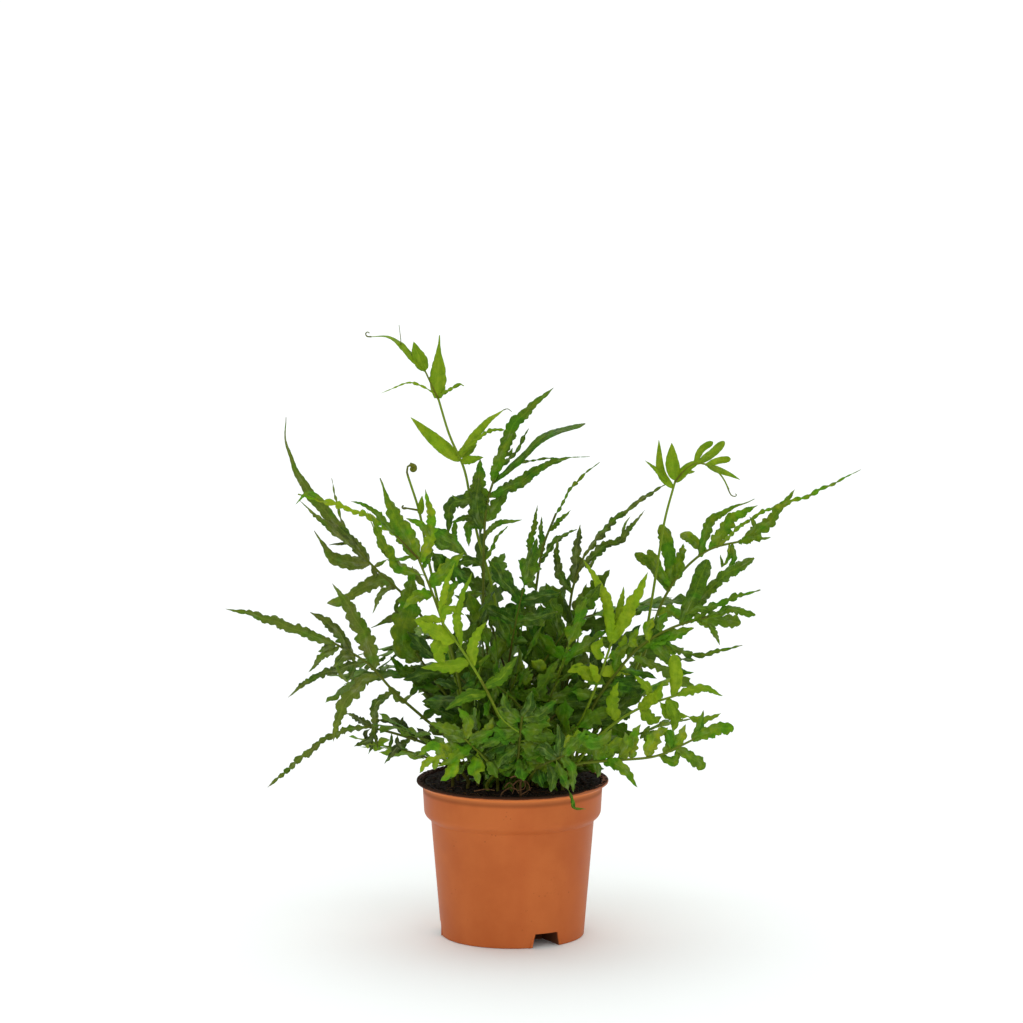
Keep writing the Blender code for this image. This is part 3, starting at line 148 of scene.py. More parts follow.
# Outer fronds, as name: (stems, leaflets).
# A stem is a list of (across, up, depth); the first stem is the stipe and its rachis, from where it
# leaves the soil's neighbourhood, and the others are side branches that start on it.
# A leaflet is (width as seen, depth gained from root to tip, (across, up), (across, up), ...).
OUTER_FRONDS = {
    "frond_top_crown": (
        [[(-9, 195, 6), (-20, 245, 9), (-27, 277, 10), (-31, 298, 10), (-38, 312, 10), (-46, 338, 10)],
         [(-46, 337, 10), (-49, 344, 11), (-55, 357, 13)]],
        [(8, 10, (-31, 299), (-48, 312), (-63, 326)), (5, -8, (-29, 300), (-18, 301)),
         (6, 8, (-29, 304), (-22, 309)), (5, 12, (-30, 303), (-18, 321), (-5, 331)),
         (3, -12, (-30, 304), (-15, 317), (-3, 318)), (9, 4, (-46, 338), (-46, 352), (-45, 377)),
         (3, -10, (-47, 340), (-57, 346), (-66, 347), (-81, 341)),
         (3, -8, (-46, 339), (-34, 346), (-30, 345.5)), (8, 6, (-55, 355), (-58, 364), (-61, 373)),
         (4, 10, (-55, 355), (-60, 361), (-74, 375), (-90, 376))]),
    "frond_tall_centre": (
        [[(-17, 190, 3), (-18, 228, 4), (-17, 262, 5), (-14, 280, 5), (-8, 297, 6)]],
        [(8, 10, (-9, 297), (-1, 318), (10, 331), (25.5, 344.5)),
         (9, -8, (-17, 262), (-21, 280), (-20, 300)), (6, -12, (-12, 285), (5, 300), (20, 314), (45, 322)),
         (3, 14, (-11, 288), (5, 297), (15, 299.5), (48, 301.5)),
         (8, -18, (-14, 276), (5, 286), (20, 296), (35, 300.5)), (3, 18, (-9, 294), (1, 303), (10, 319)),
         (7, -14, (-15, 276), (-28, 275), (-38, 271), (-40, 252)),
         (5, 12, (-17, 261), (-28, 263), (-39, 260)), (6, -6, (-17, 258), (-27, 258), (-27, 245)),
         (4, 8, (-17, 252), (-10, 259), (6, 262)), (3, -8, (-18, 235), (-10, 250), (-3, 258))]),
    "frond_crozier": (
        [[(-44, 200, -12), (-52, 235, -15), (-56, 260, -15), (-62, 280, -15), (-65, 290, -15)],
         [(-64.7, 288.5, -15), (-65.5, 293, -15), (-64, 296.5, -15), (-61, 297, -15), (-59.4, 294.5, -15),
          (-61, 292.4, -15)],
         [(-58, 268, -15), (-67.5, 269.5, -16)]],
        [(4, -4, (-57, 265), (-56, 277))]),
    "frond_left_upper": (
        [[(-36, 172, -24), (-52, 222, -30), (-59, 239, -30)],
         [(-59, 239, -30), (-72, 252, -33)]],
        [(12, -8, (-59, 237), (-68, 255), (-75, 268), (-82, 288)),
         (4, 12, (-71, 251), (-85, 262), (-108, 271), (-133, 278)),
         (3, -10, (-71, 251), (-88, 269), (-100, 273.5)),
         (4, -16, (-60, 240), (-76, 238), (-84, 252), (-90, 267)), (5, 8, (-55, 231), (-50, 244)),
         (6, 16, (-57, 235), (-50, 257), (-54, 281)), (10, 10, (-51, 220), (-36, 236), (-30, 242)),
         (8, -10, (-50, 215), (-60, 214), (-68, 206))]),
    "frond_left_long": (
        [[(-36, 165, 8), (-58, 203, 12), (-70, 217, 14), (-87, 233, 15), (-100, 247, 16)]],
        [(9, 10, (-99, 246), (-110, 260), (-130, 285), (-140, 310), (-140, 326)),
         (5, -14, (-97, 243), (-110, 254), (-132, 274)), (3, 16, (-97, 244), (-107, 265), (-112, 288)),
         (9, -10, (-89, 235), (-100, 235), (-112, 239), (-123, 255)), (4, 8, (-87, 233), (-84, 221)),
         (3, -8, (-86, 232), (-78, 237)), (7, 12, (-72, 219), (-83, 224), (-107, 211), (-114, 210)),
         (3, -10, (-74, 221), (-82, 215), (-87, 203)), (8, -12, (-62, 208), (-75, 200), (-88, 194))]),
    "frond_left_reaching": (
        [[(-40, 126, -14), (-62, 141, -18), (-75, 155, -20), (-98, 179, -22), (-112, 185, -22)]],
        [(7, -10, (-110, 184), (-135, 193), (-160, 202), (-178.5, 206)),
         (9, 12, (-85, 167), (-91, 187), (-104, 211), (-112, 222)),
         (8, -12, (-98, 180), (-112, 195), (-126, 204)), (6, 8, (-110, 184), (-121, 179)),
         (9, -14, (-97, 178), (-104, 176), (-112, 169)), (5, 12, (-108, 182), (-118, 176), (-127, 166)),
         (5, 16, (-92, 172), (-108, 168), (-125, 162), (-140, 150)),
         (9, -10, (-83, 163), (-94, 160), (-107, 142), (-112, 122)),
         (6, 10, (-74, 154), (-85, 145), (-86, 130), (-84, 117))]),
    "frond_left_low": (
        [[(-38, 112, -12), (-58, 122, -12), (-82, 130, -12), (-92, 132, -12)]],
        [(5, -8, (-90, 132), (-105, 129), (-122, 120), (-153, 93)),
         (8, 8, (-60, 122), (-70, 133), (-84, 136)), (5, -10, (-84, 130), (-92, 122), (-99, 119)),
         (6, 10, (-64, 124), (-74, 116), (-80, 108)), (5, 8, (-86, 131), (-98, 138), (-104, 140))]),
    "frond_left_dark": (
        [[(-34, 140, 2), (-52, 166, 3), (-60, 178, 3)]],
        [(16, 8, (-57, 173), (-68, 184), (-65, 205), (-62, 233)),
         (9, -10, (-52, 165), (-66, 166), (-76, 176)), (9, 12, (-46, 157), (-42, 172), (-44, 190))]),
    "frond_front_bright": (
        [[(0, 118, -38), (-8, 137, -42), (-19, 160, -45), (-24, 172, -45), (-38, 186, -46),
          (-44, 198, -46)]],
        [(10, -6, (-37, 184), (-48, 192), (-61, 199)), (5, 8, (-44, 197), (-43, 215), (-36, 235)),
         (9, -10, (-25, 173), (-40, 170), (-57, 169)), (7, 10, (-23, 170), (-24, 186), (-16, 198)),
         (5, -8, (-33, 181), (-34, 205), (-25, 229)), (8, 12, (-17, 156), (-6, 164), (3, 176)),
         (8, -10, (-15, 152), (-30, 150), (-42, 142))]),
    "frond_centre_right": (
        [[(11, 180, 16), (13, 205, 18), (17, 235, 20), (22, 257, 20), (27, 266, 20)]],
        [(4, 10, (26, 265), (39, 285), (54, 298)), (6, -8, (17, 232), (11, 242), (15.5, 271)),
         (5, 12, (17, 238), (18, 264)), (4, -10, (22, 255), (36, 268)),
         (4, 14, (18, 235), (28, 250), (40, 256)), (7, -12, (15, 220), (4, 226)),
         (9, 10, (14, 212), (24, 218), (33, 214)), (10, -10, (12, 200), (1, 206), (-9, 203))]),
    "frond_dark_right": (
        [[(30, 150, 2), (34, 190, 4), (38, 222, 5), (45, 241, 6)]],
        [(5, 14, (44, 240), (60, 259), (82, 276), (96, 285)), (7, -10, (37, 216), (28, 232), (28, 250)),
         (8, 8, (38, 222), (40, 245), (42, 259)), (6, -14, (41, 231), (55, 244), (67, 250), (82, 268)),
         (9, 14, (34, 188), (40, 204), (46, 222)), (10, -12, (33, 182), (24, 192), (20, 206)),
         (10, 10, (32, 170), (44, 174), (55, 170))]),
    "frond_yellow_green": (
        [[(45, 140, -14), (56, 168, -12), (62, 186, -11)]],
        [(7, -8, (61, 184), (58, 212), (44, 237)), (5, 8, (61, 185), (66, 200), (69, 220)),
         (9, -6, (61, 184), (76, 212), (84, 229)), (8, 10, (55, 165), (66, 168), (76, 164)),
         (8, -12, (53, 161), (42, 168), (34, 166))]),
    "frond_young_right": (
        [[(64, 140, 6), (81, 183, 8), (89, 228, 10), (94, 260, 10), (101, 287, 10)],
         [(101, 286, 10), (108, 294, 8), (117, 298, 6), (123, 295, 5), (129, 290, 4), (134, 281, 3)]],
        [(5, 8, (99, 282), (92, 292), (90.5, 312)), (8, -6, (101, 287), (99, 297), (98.5, 310)),
         (4, -8, (114, 297), (117, 306), (124, 310.5)), (5, 8, (116, 298), (124, 304), (131, 311)),
         (4, -8, (121, 296), (128, 299), (135, 300)), (4, 8, (122, 295), (133, 291), (141, 287)),
         (3, 6, (107, 293), (113, 292))]),
    "frond_right_long": (
        [[(62, 130, 14), (80, 172, 20), (90, 202, 24), (97, 220, 25), (110, 233, 25), (125, 245, 26),
          (144, 249, 27)]],
        [(7, 10, (96, 218), (88, 232), (76, 241)), (6, -10, (97, 220), (91, 232), (84, 243)),
         (9, 12, (98, 221), (97, 242), (92, 259)), (8, -12, (101, 225), (104, 236), (106, 247)),
         (7, 14, (120, 242), (111, 250), (104, 253)), (6, -14, (116, 239), (124, 262), (150, 275)),
         (9, 12, (122, 243), (137, 263), (152, 271)),
         (5, -8, (126, 246), (150, 264), (185, 278), (216, 293.5)),
         (8, 10, (142, 249), (158, 260), (175, 281)), (6, -12, (140, 248), (151, 250), (160, 251)),
         (4, 8, (134, 247), (135, 240), (130, 232)), (9, -10, (90, 202), (100, 205), (108, 198))]),
    "frond_right_middle": (
        [[(48, 140, -10), (75, 178, -13), (92, 189, -15), (106, 198, -15), (122, 201, -16)]],
        [(10, -8, (104, 197), (114, 218), (121, 237)), (8, 10, (107, 198), (126, 222), (150, 238)),
         (5, -14, (110, 199), (130, 210), (154, 218)), (9, 12, (117, 200), (130, 199), (142, 197)),
         (5, -8, (120, 201), (136, 205), (151, 202)), (5, 10, (114, 200), (124, 194), (129, 183)),
         (4, -10, (90, 188), (112, 177), (143, 183)), (8, 12, (76, 178), (88, 190), (90, 203)),
         (7, -8, (84, 184), (95, 176), (104, 166))]),
    "frond_right_light": (
        [[(50, 122, -26), (75, 141, -29), (92, 148, -30), (104, 152, -30)]],
        [(8, 8, (100, 151), (102, 165), (100, 177)), (9, -8, (97, 149), (101, 138), (100, 128)),
         (6, 10, (102, 152), (117, 156), (131, 151)), (8, -10, (78, 142), (88, 150), (94, 160)),
         (8, 10, (80, 143), (88, 136), (93, 138)), (8, -8, (66, 134), (62, 147), (66, 160))]),
    "frond_right_trailing": (
        [[(38, 107, -40), (55, 110, -44), (82, 111, -46), (103, 118, -46), (114, 124, -46)]],
        [(6, 6, (112, 123), (117, 132), (119, 142)), (9, -6, (112, 123), (124, 129), (138, 131)),
         (8, 8, (102, 117), (112, 112), (120, 105)), (9, -8, (84, 111), (88, 124), (97, 131)),
         (8, 10, (74, 111), (75, 124), (80, 133)), (8, -14, (56, 110), (67, 107), (78, 93)),
         (8, 12, (95, 113), (104, 124), (108, 133)), (8, -6, (52, 110), (52, 122), (44, 130))]),
    "frond_front_low": (
        [[(3, 108, -36), (5, 126, -44), (6, 138, -48)]],
        [(9, -6, (6, 137), (11, 146), (12, 154)), (8, 8, (5, 134), (-4, 144), (-6, 153)),
         (9, -8, (6, 136), (18, 140), (28, 149)), (10, 8, (5, 128), (18, 124), (30, 126)),
         (10, -8, (4, 124), (-8, 124), (-20, 118))]),
    "frond_front_left": (
        [[(-12, 106, -34), (-22, 116, -42), (-30, 124, -48)]],
        [(10, -6, (-29, 122), (-40, 130), (-52, 134)), (8, 8, (-29, 123), (-28, 134), (-34, 144)),
         (8, -12, (-23, 117), (-36, 112), (-47, 106)), (8, 8, (-24, 118), (-16, 128), (-12, 138))]),
    "frond_front_rim": (
        [[(14, 104, -38), (24, 110, -46), (32, 113, -52)]],
        [(8, -6, (31, 113), (40, 122), (46, 130)), (7, -10, (30, 112), (37, 104), (38, 90)),
         (9, 6, (24, 110), (18, 118), (12, 116)), (8, 8, (26, 111), (30, 122), (28, 133))]),
}

# How each outer frond looks, as name: (tone from 0 dark to 1 light, depth of the notches, ruffle,
# age, the form of each leaflet in turn)
FROND_LOOKS = {
    "frond_top_crown": (0.54, 0.14, 0.4, "young", "pwwwstmswt"),
    "frond_tall_centre": (0.36, 0.36, 0.9, "grown", "wWlmwsWwwws"),
    "frond_crozier": (0.50, 0.15, 0.4, "young", "p"),
    "frond_left_upper": (0.58, 0.42, 1.0, "grown", "tSwncWwww"),
    "frond_left_long": (0.42, 0.36, 0.8, "old", "nwmtwwWWn"),
    "frond_left_reaching": (0.36, 0.42, 1.2, "old", "wWwwwwwww"),
    "frond_left_low": (0.04, 0.52, 1.2, "old", "Swwww"),
    "frond_left_dark": (0.40, 0.36, 1.0, "grown", "www"),
    "frond_front_bright": (0.60, 0.34, 0.9, "young", "wwwwwdd"),
    "frond_centre_right": (0.34, 0.55, 1.1, "grown", "mwwwswww"),
    "frond_dark_right": (0.36, 0.50, 1.2, "old", "swwwwww"),
    "frond_yellow_green": (0.86, 0.30, 0.8, "young", "wWwww"),
    "frond_young_right": (0.56, 0.10, 0.3, "young", "ppbbbpp"),
    "frond_right_long": (0.58, 0.42, 1.2, "grown", "bbbwbtwmwsww"),
    "frond_right_middle": (0.40, 0.40, 1.1, "grown", "bcsccwsww"),
    "frond_right_light": (0.52, 0.38, 0.9, "young", "Bwwwww"),
    "frond_right_trailing": (0.56, 0.38, 1.0, "grown", "wccwwwww"),
    "frond_front_low": (0.24, 0.46, 1.1, "grown", "wwwww"),
    "frond_front_left": (0.62, 0.46, 1.0, "grown", "wwww"),
    "frond_front_rim": (0.18, 0.46, 1.0, "grown", "wwww"),
}
# What each age of frond is made of, as age: (leaf, stalk, slot)
AGES = {
    "grown": ("fern_leaf", "stipe", "frond"),
    "old": ("old_leaf", "stipe", "frond"),
    "young": ("young_leaf", "young_stipe", "young_frond"),
}
# Forms of leaflets, as letter: (outline, share of the width, share of the frond's notches, notches of
# its own, share of the frond's ruffle, share of the roll that is kept, change of tone)
LEAFLET_FORMS = {
    "w": ("lance", 1.05, 1.0, 0.0, 1.0, 1.0, 0.0),
    "W": ("lance", 1.35, 1.0, 0.0, 1.0, 1.0, 0.0),
    "d": ("lance", 1.0, 1.0, 0.0, 1.0, 1.0, -0.7),
    "p": ("lance", 1.0, 0.0, 0.06, 0.3, 1.0, 0.0),
    "c": ("blunt", 1.0, 1.0, 0.0, 1.0, 1.0, 0.0),
    "b": ("blunt", 0.98, 0.5, 0.0, 0.7, 1.0, 0.0),
    "B": ("blunt", 0.98, 0.5, 0.0, 0.7, 1.0, 0.25),
    "l": ("blunt", 0.95, 0.0, 0.06, 0.3, 1.0, 0.0),
    "s": ("beads", 1.3, 0.0, 0.72, 1.0, 0.25, 0.0),
    "S": ("beads", 1.3, 0.0, 0.72, 1.0, 0.25, 0.3),
    "m": ("beads", 0.78, 0.0, 0.82, 1.0, 0.25, 0.0),
    "t": ("drawn", 1.1, 0.7, 0.0, 1.0, 1.0, 0.0),
    "n": ("drawn", 0.8, 0.5, 0.0, 1.0, 0.6, 0.0),
}
# Outlines of leaves, as name: (shares of the length, shares of the full half width there). Blunt is a
# strap with a rounded tip, beads is nearly even, drawn runs out to a thread, and ovate has a narrow stalk.
OUTLINES = {
    "blunt": ((0.0, 0.12, 0.3, 0.6, 0.8, 0.9, 0.96, 1.0), (0.3, 0.6, 0.92, 1.0, 0.98, 0.82, 0.58, 0.2)),
    "beads": ((0.0, 0.08, 0.35, 0.7, 0.88, 1.0), (0.3, 0.8, 1.0, 0.84, 0.45, 0.12)),
    "drawn": ((0.0, 0.1, 0.28, 0.5, 0.68, 0.84, 1.0), (0.4, 0.78, 1.0, 0.78, 0.4, 0.16, 0.06)),
    "ovate": ((0.0, 0.1, 0.2, 0.36, 0.62, 0.84, 1.0), (0.08, 0.12, 0.72, 1.0, 0.92, 0.5, 0.0)),
}
# Darkest and lightest tone of the fronds placed by a rule
SPRIG_TONES = {
    "frond_skirt": (0.24, 0.54),
    "frond_near": (0.10, 0.48),
    "frond_inner": (0.06, 0.36),
    "frond_lower": (0.34, 0.66),
    "frond_back": (0.16, 0.42),
}

# Small leaves and threads seen on the outer fronds. Each starts on the stem, leaflet or earlier small
# leaf that is seen nearest to its first point. A leaf is (width, depth of its notches, change of tone,
# depth gained from root to tip, (across, up), ...), and a thread (radius, depth gained, (across, up), ...).
EXTRA_LEAVES = {
    "frond_left_upper": [
        (5, 0.3, 0, -4, (-48, 250), (-56, 258), (-66, 263)),
        (13, 0.25, -0.3, 4, (-51, 254), (-41, 249), (-28, 240)),
        (12, 0.5, -0.25, 4, (-47, 241), (-43, 232), (-35, 222)),
        (8, 0.5, -0.42, -4, (-38, 232), (-32, 226), (-24, 222)),
        (7, 0.4, 0, 4, (-42, 205), (-38, 218), (-30, 226)),
        (8.5, 0.5, 0, -12, (-57, 226), (-70.5, 231), (-76, 240), (-82, 251), (-88, 266)),
        (3, 0.3, 0.1, 2, (-116, 275), (-127, 279), (-134.5, 271.5))],
    "frond_left_long": [
        (8, 0.36, 0, 2, (-90, 237), (-97, 246), (-109, 259)),
        (6, 0.1, 0.35, 0, (-104, 213), (-109, 210.5), (-115.5, 209.5)),
        (2, 0.2, 0, -4, (-104, 244), (-109, 247), (-114, 246)),
        (9, 0.5, 0, -2, (-68, 236), (-61, 228), (-54, 219)),
        (7, 0.5, 0, 4, (-66, 222), (-64, 212), (-60, 204)),
        (4, 0.5, 0, -4, (-70, 214), (-72, 206), (-66, 202))],
    "frond_left_dark": [
        (9, 0.56, 0, -8, (-44, 150), (-50, 142), (-58, 136)),
        (9, 0.56, 0, 2, (-40, 146), (-48, 151), (-57, 152)),
        (9, 0.56, 0, -6, (-36, 140), (-44, 134), (-53, 128)),
        (8, 0.5, 0, 4, (-50, 164), (-58, 159), (-64, 150))],
    "frond_left_reaching": [
        (4, 0.4, 0, -3, (-97, 168), (-103, 160)), (3, 0.4, 0, -3, (-110, 171), (-106, 164), (-101, 158)),
        (6, 0.5, 0, 5, (-78, 158), (-70, 149), (-62, 152))],
    "frond_left_low": [
        (3, 0.5, 0, -2, (-74, 126), (-76, 119), (-75, 115)),
        (8, 0.56, 0, -8, (-46, 116), (-53, 124), (-60, 131)),
        (7, 0.5, 0, 4, (-62, 124), (-70, 130), (-68, 138)),
        (4, 0.5, 0, 4, (-88, 131), (-92, 126), (-88, 119), (-90, 114)),
        (4, 0.5, 0, -6, (-70, 126), (-72, 120), (-65, 117))],
    "frond_dark_right": [
        (2, 0.3, 0, 4, (66, 252), (69, 257), (73, 264)), (3, 0.3, 0, -4, (43, 236), (47, 233), (52, 239))],
    "frond_right_long": [
        (2, 0.2, 0, 3, (129, 229), (129, 240)), (4, 0.4, 0, 4, (136, 247), (137, 238), (132, 226)),
        (5, 0.5, 0, -4, (146, 249), (150, 257), (147, 264))],
    "frond_right_middle": [
        (6, 0.5, 0, -4, (108, 202), (116, 206), (128, 203)),
        (4, 0.3, 0, 4, (128, 202), (133, 206), (142, 207)),
        (3, 0.3, 0, -2, (100, 167), (107, 166), (113, 166)),
        (4, 0.3, 0, 2, (119, 211), (122, 216), (122, 220)),
        (9, 0.56, 0, -4, (62, 166), (66, 176), (74, 186)),
        (8, 0.56, 0.2, -4, (86, 185), (84, 193), (88, 201)),
        (8, 0.56, -0.1, 4, (94, 190), (92, 197), (96, 204)),
        (10, 0.4, 0.2, -4, (84, 184), (97, 189), (113, 194)),
        (10, 0.56, 0.2, 4, (88, 186), (96, 180), (105, 181)),
        (7, 0.56, 0.3, -4, (80, 180), (75, 186), (78, 194)),
        (8, 0.56, 0, 4, (66, 168), (78, 166), (90, 162)), (9, 0.5, 0, -4, (80, 180), (88, 187), (98, 190)),
        (7, 0.52, 0, 4, (70, 172), (74, 180), (82, 188)), (7, 0.52, 0, -6, (74, 176), (84, 172), (92, 168))],
    "frond_tall_centre": [
        (3, 0.2, 0, -4, (-28, 275), (-33, 274), (-37.5, 277.5)),
        (12, 0.36, 0, -4, (-18, 256), (-22, 268), (-21, 288)),
        (9, 0.36, 0, 6, (-17, 260), (-9, 272), (-2, 284)), (8, 0.4, 0, -6, (-14, 284), (-9, 298), (0, 316)),
        (4, 0.3, 0, 4, (-35, 260), (-36, 250), (-34, 244)), (3, 0.2, 0, 4, (-5, 303), (-2, 303), (0, 307)),
        (8, 0.52, 0, -6, (-17, 232), (-25, 236), (-36, 234)),
        (8, 0.52, 0, -4, (-18, 215), (-26, 214), (-32, 206))],
    "frond_young_right": [
        (3, 0.2, 0, -4, (94, 284), (88, 294), (82, 299)),
        (6, 0.06, 0, -7, (100, 286), (108, 294.5), (119, 300))],
    "frond_front_left": [
        (8, 0.56, 0.1, -4, (-42, 113), (-50, 119), (-59, 113)),
        (7, 0.56, 0.1, -2, (-44, 112), (-53, 109), (-58, 102)),
        (13, 0.56, 0, -8, (-26, 113), (-23, 104), (-21, 95)),
        (9, 0.56, 0, -8, (-30, 112), (-38, 104), (-45, 97)),
        (8, 0.56, 0, 4, (-18, 109), (-12, 104), (-9, 99)),
        (12, 0.56, 0, 4, (-34, 112), (-42, 116), (-51, 122)),
        (6, 0.5, 0, -2, (-44, 114), (-48, 110), (-49, 104)),
        (9, 0.56, 0, 4, (-30, 114), (-36, 120), (-39, 128))],
    "frond_front_rim": [
        (11, 0.56, 0, -10, (12, 109), (16, 101), (19, 93)),
        (10, 0.56, 0, -10, (22, 108), (25, 99), (24, 90)), (9, 0.56, 0, 4, (29, 106), (32, 98), (35, 91)),
        (3, 0.5, 0, 5, (35, 92), (37.5, 85), (39, 80), (46, 79)),
        (12, 0.56, 0.6, -4, (30, 118), (38, 122), (48, 126)),
        (11, 0.56, 0.45, 6, (44, 118), (54, 122), (62, 130))],
    "frond_front_low": [
        (14, 0.56, 0.1, -6, (5, 128), (-2, 134), (-8, 142)),
        (12, 0.56, -0.2, -6, (6, 132), (12, 140), (22, 142)), (13, 0.56, 0, -4, (3, 112), (6, 104), (7, 97)),
        (12, 0.56, 0, -6, (6, 132), (16, 134), (24, 132)), (13, 0.56, 0, -8, (5, 122), (14, 116), (20, 108)),
        (12, 0.56, 0, -8, (2, 120), (-6, 112), (-9, 105))],
    "frond_right_trailing": [
        (11, 0.3, 0.1, -4, (57, 110), (55, 117), (52, 124)),
        (5, 0.3, -0.5, 2, (52, 109), (53, 116), (50, 126)),
        (5, 0.3, -0.5, 2, (52, 109), (54, 104), (53, 99)), (8, 0.5, 0, 4, (90, 113), (100, 110), (104, 118)),
        (9, 0.5, 0, -4, (66, 110), (72, 119), (70, 128)), (8, 0.5, 0, 6, (98, 115), (98, 124), (92, 132)),
        (10, 0.5, 0, 4, (56, 110), (62, 118), (74, 122))],
    "frond_right_light": [
        (7, 0.5, 0, -4, (86, 146), (84, 156), (76, 164)), (8, 0.5, 0, 4, (92, 148), (98, 140), (110, 138)),
        (6, 0.5, 0, 2, (108, 138), (120, 136), (130, 140))],
    "frond_front_bright": [
        (12, 0.5, 0, -4, (-40, 190), (-46, 178), (-42, 172)),
        (6, 0.4, 0, 2, (-44, 198), (-52, 200), (-61, 199)),
        (7, 0.5, 0, -4, (-46, 200), (-38, 206), (-30, 202))],
    "frond_yellow_green": [
        (9, 0.5, 0, -4, (57, 172), (52, 180), (56, 188)), (9, 0.5, 0, 4, (58, 174), (68, 180), (70, 190)),
        (7, 0.5, 0.35, -6, (50, 158), (52, 164), (48, 172))],
}

# The crozier's coil, as seen: a spiral whose radius and turn both grow from its middle
COIL_MIDDLE = (-61.9, 293.9)
COIL_GROWTH = 0.31
COIL_TURN = 1.1
COIL = [(COIL_MIDDLE[0] + COIL_GROWTH * part * math.cos(COIL_TURN * part),
         COIL_MIDDLE[1] + COIL_GROWTH * part * math.sin(COIL_TURN * part))
        for part in np.linspace(7.6, 0.6, 28)]
EXTRA_THREADS = {
    "frond_crozier": [
        (1.35, 0, *COIL), (1.5, 0, (-62.8, 293.2), (-61.2, 294.4)),
        (0.8, 0, (-66, 269.3), (-67.8, 269), (-68.4, 270.2), (-67.4, 270.8))],
    "frond_top_crown": [
        (0.5, 0, (-87, 375.6), (-89.6, 376.2), (-90.6, 377.8), (-89.4, 379), (-88.2, 378.2)),
        (0.35, 0, (-6, 330.8), (-3, 331.2), (-0.5, 329.5)),
        (0.28, 0, (-68, 371.6), (-69, 375), (-69.6, 380), (-70, 383.5))],
    "frond_front_bright": [(0.6, -12, (-18.5, 161), (-14.5, 151.5), (-7.6, 138), (-1.3, 131.7), (4, 128))],
    "frond_young_right": [
        (0.5, 0, (132, 284), (134.5, 279), (136, 277), (138, 276.6), (138.8, 277.6), (138, 278.2))],
}
THREAD_TAPER = 0.6
THREAD_STATION = 0.6
LEAFY_STIPES = ("frond_tall_centre", "frond_left_upper", "frond_left_long", "frond_left_dark",
                "frond_front_low", "frond_centre_right", "frond_dark_right", "frond_right_middle",
                "frond_front_left")

# Fine leaves
EDGE_ON = 0.3
LEAF_COLUMNS = 9
LEAF_STATION = 0.85
SPRIG_STATION = 1.1
LEAF_ROWS = (14, 84)
LEAF_EDGE = 0.07
LEAF_BODY = 0.13
LEAF_RIB = 0.22
LEAF_GROOVE = 0.14
RIB_WIDTH = 0.42
GROOVE_SHARE = 0.16
FULL_BODY = 2.2
LEAF_TIP = 0.22
LEAF_TIP_TAPER = 0.6
LEAF_TWIST = 0.3
TWIST_WAVE = 0.2
TWIST_RATE = 0.21
SWAY_WAVE = 0.45
SWAY_RATE = 0.33
WAVE_STARTS = (0.0, 6.0)
LEAF_ARCH = (0.04, 0.2)
TONE_SPREAD = 0.17
NOTCH_PITCH = 3.9
BEAD_PITCH = 6.2
TOOTH_PITCH = 5.2
PITCH_WIDTH = 4.0
PITCH_LIMITS = (0.7, 1.3)
NOTCH_STEPS = (0.6, 1.45)
NOTCH_FULLNESS = 0.8
LOBE_SIZES = (0.5, 1.1)
LOBE_PITCH = 1.3
LOBE_REACH = 1.16
LOBE_FORWARD = 0.9
LOBE_TILT = 0.42
LOBE_RISE = 2.0
TOOTH_SHARE = 0.5
TOOTH_DEPTH = (0.2, 0.5)
STEM_SIDES = 9
STEM_STATION = 2.6
STEM_FLAT = 0.16
STIPE_FOOT = 1.15
STIPE_TOP = 0.72
BRANCH_END = 0.5

# Small lobed leaves: those with notches deeper than LOBED. LOBED_LOOK is the depth of the notches, the
# ruffle, the pitch and how far the lobes lean to the tip.
LOBED = 0.49
LOBED_LOOK = (0.52, 1.2, TOOTH_PITCH, 1.35)
EXTRA_LEAN = 1.2
EXTRA_ROLL = 0.25
STIPE_TONES = (0.12, 0.45)
STIPE_LEAF_LOW = 5.0
STIPE_LEAF_HIGH = 165.0
STIPE_LEAF_STEP = 8.0
STIPE_LEAF_MOST = 6
STIPE_LEAF_LENGTH = (14.0, 25.0)
STIPE_LEAF_WIDTH = (0.5, 0.72)
STIPE_LEAF_PLACES = (0.2, 0.8)
STIPE_LEAF_LEANS = (-0.2, 0.6)
STIPE_LEAF_BENDS = (-0.05, 0.14)
STIPE_LEAF_ROLL = 0.4
RIM_INSIDE = 6.0
RIM_ABOVE = 4.0
SPRIG_LOBE_ROLL = 0.5
LOBE_ROOT_BACK = 0.12
WING_HALF, WING_GROWTH = 0.8, 1.3


def running(line):
    """Distance of each point of a line from its first."""
    steps = np.linalg.norm(np.diff(line, axis=0), axis=1)
    return np.concatenate([[0.0], np.cumsum(steps)])


def at(line, distances):
    """Points at distances along a line, each mixed from the two line points beside it."""
    runs = running(line)
    return np.stack([np.interp(distances, runs, line[:, axis]) for axis in range(3)], -1)


def evenly(line, steps, share=1.0):
    """Points at even steps along the first share of a line."""
    return at(line, running(line)[-1] * share * np.arange(steps + 1) / steps)


def curve(points, fine=8):
    """A smooth line through points: each span mixes its four neighbours by cubic weights."""
    given = np.asarray(points, float)
    ends = np.vstack([2 * given[0] - given[1], given, 2 * given[-1] - given[-2]])
    t = np.arange(fine)[:, None] / fine
    weights = 0.5 * np.hstack([-t + 2 * t**2 - t**3, 2 - 5 * t**2 + 3 * t**3,
                               t + 4 * t**2 - 3 * t**3, t**3 - t**2])
    spans = np.stack([ends[:-3], ends[1:-2], ends[2:-1], ends[3:]], 1)
    return np.vstack([np.einsum("fk,skc->sfc", weights, spans).reshape(-1, 3), given[-1]])


def unit(vectors):
    """Vectors of length one."""
    return vectors / np.maximum(np.linalg.norm(vectors, axis=-1, keepdims=True), 1e-9)


